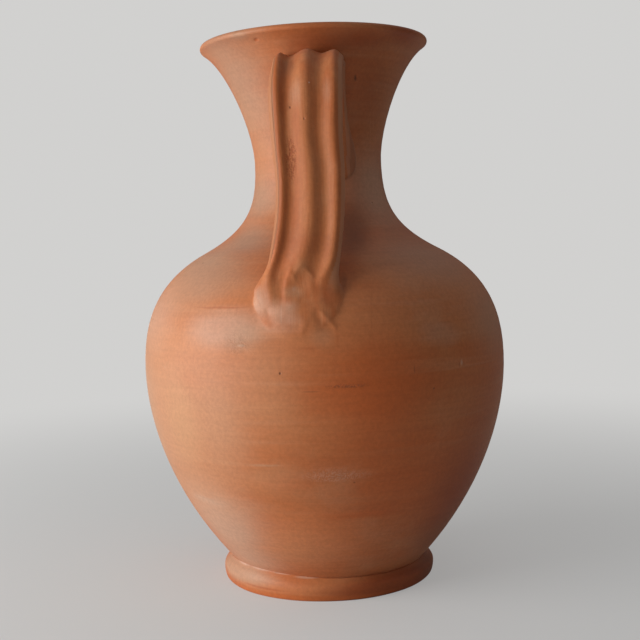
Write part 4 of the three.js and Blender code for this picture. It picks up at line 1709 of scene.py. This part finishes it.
@dataclass(frozen=True)
class Clay:
    """Fired terracotta: its colours, and how the potter's hands left its skin. Colours are linear.

    Level and upright are how close the drawn streaks lie in each direction, to the metre, and a stretch
    multiplies them. An ease says where a mask starts and where it is full.
    """

    name: str
    body: Colour = (0.50, 0.168, 0.056)
    deep: Colour = (0.47, 0.128, 0.034)
    pale: Colour = (0.53, 0.235, 0.110)
    roughness: float = 0.58
    gloss: float = 0.35
    level: float = 7.0
    upright: float = 150.0
    broad_stretch: Pair = (0.9, 0.17)
    hair_stretch: Pair = (2.2, 3.4)
    skin_stretch: Pair = (2.0, 2.6)
    cloud_scale: Pair = (13.0, 17.0)
    body_ease: Pair = (0.36, 0.66)
    grain: float = 0.06
    streaks: float = 0.035
    mottle: float = 0.075
    mottle_ease: Pair = (0.3, 0.7)
    lining: float = 0.022
    lining_ease: Pair = (0.38, 0.66)
    dust: float = 0.06
    speck_scale: float = 380.0
    grit_scale: float = 900.0
    grit_ease: Pair = (0.46, 0.58)
    pit_amount: float = 0.6
    marks: tuple[Mark, ...] = BODY_MARKS

    def build(self) -> bpy.types.Material:
        """Builds the material.

        Returns:
            The material.
        """
        made = bpy.data.materials.new(self.name)
        made.use_nodes = True
        sketch = Sketch(made.node_tree)
        shader = made.node_tree.nodes["Principled BSDF"]
        colour, height = self.colour_and_height(sketch)
        bump = sketch.node("ShaderNodeBump", {"Strength": 1.0, "Distance": MILLIMETRE, "Height": height})
        sketch.feed(shader.inputs["Base Color"], colour)
        sketch.feed(shader.inputs["Normal"], bump.outputs[0])
        shader.inputs["Roughness"].default_value = self.roughness
        shader.inputs["Specular IOR Level"].default_value = self.gloss
        shader.inputs["Sheen Weight"].default_value = self.dust
        return made

    def colour_and_height(self, sketch: Sketch) -> tuple[Socket, Socket]:
        """Draws the colour and the height of the skin over the whole piece."""
        return self.pattern(sketch)

    def stretched(self, stretch: Pair) -> Pair:
        """How close streaks lie that are stretched against the clay's own, level and upright."""
        return self.level * stretch[0], self.upright * stretch[1]

    def pattern(self, sketch: Sketch) -> tuple[Socket, Socket]:
        """Draws this clay's colour and skin, with its marks: stains, and painted light and shade.

        Args:
            sketch: The material's tree.

        Returns:
            The colour's socket and the height's.
        """
        streaks = DrawnStreaks()
        broad = streaks.mask(sketch, *self.stretched(self.broad_stretch), 4.0)
        drawn = streaks.mask(sketch, self.level, self.upright)
        hair = streaks.mask(sketch, *self.stretched(self.hair_stretch), 4.0)
        cloud = streaks.mask(sketch, *self.cloud_scale, 5.0, 0.6)
        level, upright = self.stretched(self.skin_stretch)
        skin = ClaySkin().place(sketch, Grain=self.grain, Streaks=self.streaks, Level=level, Upright=upright)
        colour = sketch.blend(sketch.ease(broad, *self.body_ease), (*self.deep, 1.0), (*self.body, 1.0))
        layers = (
            (cloud, 0.5, 0.75, 0.55, self.pale),
            (drawn, 0.5, 0.78, 0.35, self.pale),
            (hair, 0.5, 0.8, 0.3, self.deep),
        )
        for noise, start, full, amount, tint in layers:
            colour = sketch.blend(sketch.ease(noise, start, full, 0.0, amount), colour, (*tint, 1.0))
        place = sketch.place()
        specks = sketch.noise(place, self.speck_scale, 4.0, 0.7).outputs[0]
        grit = sketch.ease(sketch.noise(place, self.grit_scale, 2.0).outputs[0], *self.grit_ease)
        mottle = sketch.ease(specks, *self.mottle_ease, 1.0 - self.mottle, 1.0 + self.mottle)
        lining = sketch.ease(hair, *self.lining_ease, 1.0 + self.lining, 1.0 - self.lining)
        height = skin.outputs["Height"]
        for mark in self.marks:
            mask = mark.mask(sketch)
            if mark.speckled:
                mask = sketch.times(mask, grit)
            colour = sketch.stain(colour, mask, mark.colour, mark.amount)
            if mark.relief:
                height = sketch.math("ADD", height, sketch.times(mask, mark.relief))
        colour = sketch.scaled(colour, sketch.times(mottle, lining))
        return sketch.stain(colour, skin.outputs["Pits"], PIT_AND_SHADOW, self.pit_amount), height


@dataclass(frozen=True)
class LaneTint:
    """A tint that follows the strap: stains, and painted shade at its right edge. Each pair is where an ease
    starts and ends.

    Lanes are places across the strap, from 0 at the left edge to 6 at the right. Along is in millimetres.
    """

    lanes: tuple[Pair, ...]
    along: Pair
    colour: Colour
    amount: float


STRAP_TINTS = (
    LaneTint(((0.58, 0.7), (1.3, 1.05)), (165.0, 150.0), RUST, 0.8),
    LaneTint(((0.66, 0.56),), (180.0, 160.0), SIENNA, 0.65),
    LaneTint(((5.3, 5.5),), (195.0, 175.0), GREY, 0.6),
    # Dark along the right edge near the root: painted shade.
    LaneTint(((5.9, 6.0),), (195.0, 175.0), PAINTED_SHADE, 0.3),
)


@dataclass(frozen=True)
class LutedClay(Clay):
    """Clay that runs out into the thrown wall: the wall's own clay shows where it is smeared to nothing.

    Worked and lane are the mesh's attributes: how much clay lies on the wall, and where on the strap.
    """

    wall: Clay = Clay("thrown_clay")
    stray_scale: Pair = (160.0, 60.0)
    stray_amount: float = 0.5
    wall_ease: Pair = (0.15, 0.85)
    hair_scale: Place = (9.0, 0.045, 0.0)
    hair_ease: Pair = (0.35, 0.65)
    hair_amount: float = 0.35
    hair_depth: float = 0.16
    cut_lane: float = 0.52
    cut_drift: float = 0.16
    cut_scale: float = 0.35
    cut_width: Pair = (0.04, 0.16)
    cut_along: Pair = (160.0, 175.0)
    cut_depth: float = 0.4
    cut_shade: float = 0.75
    worked: ClassVar[str] = "worked"
    lane: ClassVar[str] = "lane"

    def colour_and_height(self, sketch: Sketch) -> tuple[Socket, Socket]:
        """Draws both clays, and mixes them by how much clay was worked on.

        Args:
            sketch: The material's tree.

        Returns:
            The colour's socket and the height's.
        """
        colour, height = self.ridge_lines(sketch, *self.pattern(sketch))
        wall_colour, wall_height = self.wall.pattern(sketch)
        worked = sketch.node("ShaderNodeAttribute", attribute_name=self.worked).outputs["Fac"]
        stray = sketch.math("SUBTRACT", DrawnStreaks().mask(sketch, *self.stray_scale), 0.5)
        reach = sketch.math("ADD", worked, sketch.times(stray, self.stray_amount))
        share = sketch.ease(reach, *self.wall_ease)
        mixed = sketch.node("ShaderNodeMix", {0: share, 2: wall_height, 3: height}, data_type="FLOAT")
        return sketch.blend(share, wall_colour, colour), mixed.outputs[0]

    def ridge_lines(
        self, sketch: Sketch, colour: Socket, height: Socket
    ) -> tuple[Socket, Socket]:
        """Adds what follows the strap's ridges: drawn hair lines, the cut line at the left with painted shade
        in it, and the tints: stains, and painted shade at the right edge.

        Args:
            sketch: The material's tree.
            colour: The strap's colour so far.
            height: The height of its skin so far.

        Returns:
            The colour's socket and the height's.
        """
        place = sketch.node("ShaderNodeAttribute", attribute_name=self.lane).outputs["Vector"]
        lane, along, _ = sketch.node("ShaderNodeSeparateXYZ", {0: place}).outputs
        run = sketch.vector("MULTIPLY", place, self.hair_scale)
        hair = sketch.noise(run, 1.0, 4.0, 0.65).outputs[0]
        colour = sketch.stain(colour, sketch.ease(hair, *self.hair_ease), self.deep, self.hair_amount)
        height = sketch.math("ADD", height, sketch.times(hair, self.hair_depth))
        drift = sketch.noise(run, self.cut_scale, 2.0).outputs[0]
        middle = sketch.math("ADD", sketch.times(drift, self.cut_drift), self.cut_lane)
        off = sketch.math("ABSOLUTE", sketch.math("SUBTRACT", lane, middle))
        ending = sketch.ease(along, *self.cut_along, 1.0, 0.0)
        cut = sketch.times(sketch.ease(off, *self.cut_width, 1.0, 0.0), ending)
        height = sketch.math("SUBTRACT", height, sketch.times(cut, self.cut_depth))
        # The cut line's dark is painted shade in the groove.
        colour = sketch.stain(colour, cut, PAINTED_SHADE, self.cut_shade)
        for stain in STRAP_TINTS:
            beside = (sketch.ease(lane, *ends) for ends in stain.lanes)
            mask = sketch.times(*beside, sketch.ease(along, *stain.along))
            colour = sketch.stain(colour, mask, stain.colour, stain.amount)
        return colour, height


@dataclass(frozen=True)
class Studio:
    """A plain pale floor, soft light from the left, and the camera. Lengths in metres, angles in degrees."""

    floor_radius: float = 4.0
    floor_corners: int = 96
    floor_colour: Colour = (0.64, 0.635, 0.62)
    floor_roughness: float = 0.75
    floor_gloss: float = 0.2
    floor_glow: float = 0.45
    backdrop_colour: Colour = (0.64, 0.635, 0.625)
    fade_start: float = 0.2
    fade_end: float = 1.0
    key_place: Place = (-1.27, -0.59, 0.35)
    key_aim: Place = (0.0, 0.0, 0.2)
    key_width: float = 1.1
    key_height: float = 0.82
    key_power: float = 24.5
    fill_colour: Colour = (0.97, 0.98, 1.0)
    fill_low: float = 0.04
    fill_high: float = 0.42
    fill_top: float = 0.9
    camera_distance: float = 0.8075
    camera_height: float = 0.2564
    camera_turn: float = 5.0
    camera_pitch: float = 4.555
    camera_roll: float = -1.641
    camera_near: float = 0.05
    lens: float = 59.85
    sensor: float = 36.0
    frame_shift: float = -3.5 / 640

    def build_floor(self) -> None:
        """Builds the floor, which runs into the backdrop's colour far from the vessel."""
        bm = bmesh.new()
        bmesh.ops.create_circle(bm, cap_ends=True, segments=self.floor_corners, radius=self.floor_radius)
        mesh = bpy.data.meshes.new("floor")
        bm.to_mesh(mesh)
        bm.free()
        material = bpy.data.materials.new("floor_paint")
        material.use_nodes = True
        sketch = Sketch(material.node_tree)
        shader = material.node_tree.nodes["Principled BSDF"]
        shader.inputs["Base Color"].default_value = (*self.floor_colour, 1.0)
        shader.inputs["Roughness"].default_value = self.floor_roughness
        shader.inputs["Specular IOR Level"].default_value = self.floor_gloss
        away = sketch.length(sketch.place())
        glow = sketch.ease(away, self.fade_start, self.fade_end, self.floor_glow, 1.0)
        seen = sketch.times(glow, sketch.node("ShaderNodeLightPath").outputs["Is Camera Ray"])
        backdrop = sketch.node("ShaderNodeEmission", {"Color": (*self.backdrop_colour, 1.0)})
        mix = sketch.node("ShaderNodeMixShader", {0: seen, 1: shader.outputs[0], 2: backdrop.outputs[0]})
        sketch.feed(material.node_tree.nodes["Material Output"].inputs["Surface"], mix.outputs[0])
        mesh.materials.append(material)
        floor = link_object("floor", mesh)

    def hang_lamp(self) -> None:
        """Hangs the soft lamp on the left."""
        lamp = bpy.data.lights.new("window_light", "AREA")
        lamp.shape = "RECTANGLE"
        lamp.size = self.key_width
        lamp.size_y = self.key_height
        lamp.energy = self.key_power
        hung = link_object("window_light", lamp)
        hung.location = self.key_place
        aim = Vector(self.key_aim) - Vector(self.key_place)
        hung.rotation_euler = aim.to_track_quat("-Z", "Y").to_euler()
        hung.visible_camera = False

    def fill_room(self) -> None:
        """Sets the fill from all round, brighter from above, and the backdrop that the camera sees."""
        world = bpy.data.worlds.new("room")
        bpy.context.scene.world = world
        world.use_nodes = True
        sketch = Sketch(world.node_tree)
        fill = world.node_tree.nodes["Background"]
        around = sketch.node("ShaderNodeTexCoord").outputs["Generated"]
        upward = sketch.node("ShaderNodeSeparateXYZ", {0: around})
        fill.inputs["Color"].default_value = (*self.fill_colour, 1.0)
        strength = sketch.ease(upward.outputs[2], 0.0, self.fill_top, self.fill_low, self.fill_high)
        sketch.feed(fill.inputs["Strength"], strength)
        plain = {"Color": (*self.backdrop_colour, 1.0), "Strength": 1.0}
        backdrop = sketch.node("ShaderNodeBackground", plain)
        seen = sketch.node("ShaderNodeLightPath").outputs["Is Camera Ray"]
        mix = sketch.node("ShaderNodeMixShader", {0: seen, 1: fill.outputs[0], 2: backdrop.outputs[0]})
        sketch.feed(world.node_tree.nodes["World Output"].inputs["Surface"], mix.outputs[0])

    def build_camera(self) -> None:
        """Places the camera at the picture's angle."""
        camera = bpy.data.cameras.new("camera")
        camera.sensor_width = self.sensor
        camera.lens = self.lens
        camera.shift_x = self.frame_shift
        camera.clip_start = self.camera_near
        placed = link_object("camera", camera)
        turn, distance = math.radians(self.camera_turn), self.camera_distance
        placed.location = (distance * math.sin(turn), -distance * math.cos(turn), self.camera_height)
        aim = Euler((math.radians(90 - self.camera_pitch), 0.0, turn), "XYZ").to_matrix()
        roll = Matrix.Rotation(math.radians(self.camera_roll), 3, "Z")
        placed.rotation_euler = (aim @ roll).to_euler()
        bpy.context.scene.camera = placed

    def build(self) -> None:
        """Builds the whole studio."""
        self.build_camera()
        self.build_floor()
        self.hang_lamp()
        self.fill_room()
        bpy.context.scene.view_settings.view_transform = "Standard"


def main() -> None:
    """Builds the studio and the amphora's pieces in order, and reports each."""
    logging.basicConfig(level=logging.INFO, format="%(name)s: %(message)s")
    vessel = VesselLine()
    settling = Settling()
    clay = Clay("thrown_clay").build()
    strap_clay = LutedClay("strap_clay", level=150.0, upright=12.0, marks=STRAP_MARKS).build()
    ring_clay = Clay("ring_clay", marks=RING_MARKS).build()
    Studio().build()
    seat, lip = vessel.seat_height, float(vessel.line[-1, 1])
    pieces = [
        (FootRing(settling), ring_clay),
        (LowerBody("lower_body_thrown", "lower_body", seat, LOWER_SEAM, vessel, settling), clay),
        (ThrownSection("upper_body_thrown", "upper_body", LOWER_SEAM, UPPER_SEAM, vessel, settling), clay),
        (Neck("neck_thrown", "neck", UPPER_SEAM, lip, vessel, settling), clay),
    ]
    pieces += [(StrapHandle(side, vessel, settling, PRESSES[side]), strap_clay) for side in Side]
    for piece, material in pieces:
        made = piece.build()
        piece.dress(made, material)
        log.info("%s: %d vertices", made.name, len(made.data.vertices))


if __name__ == "__main__":
    main()
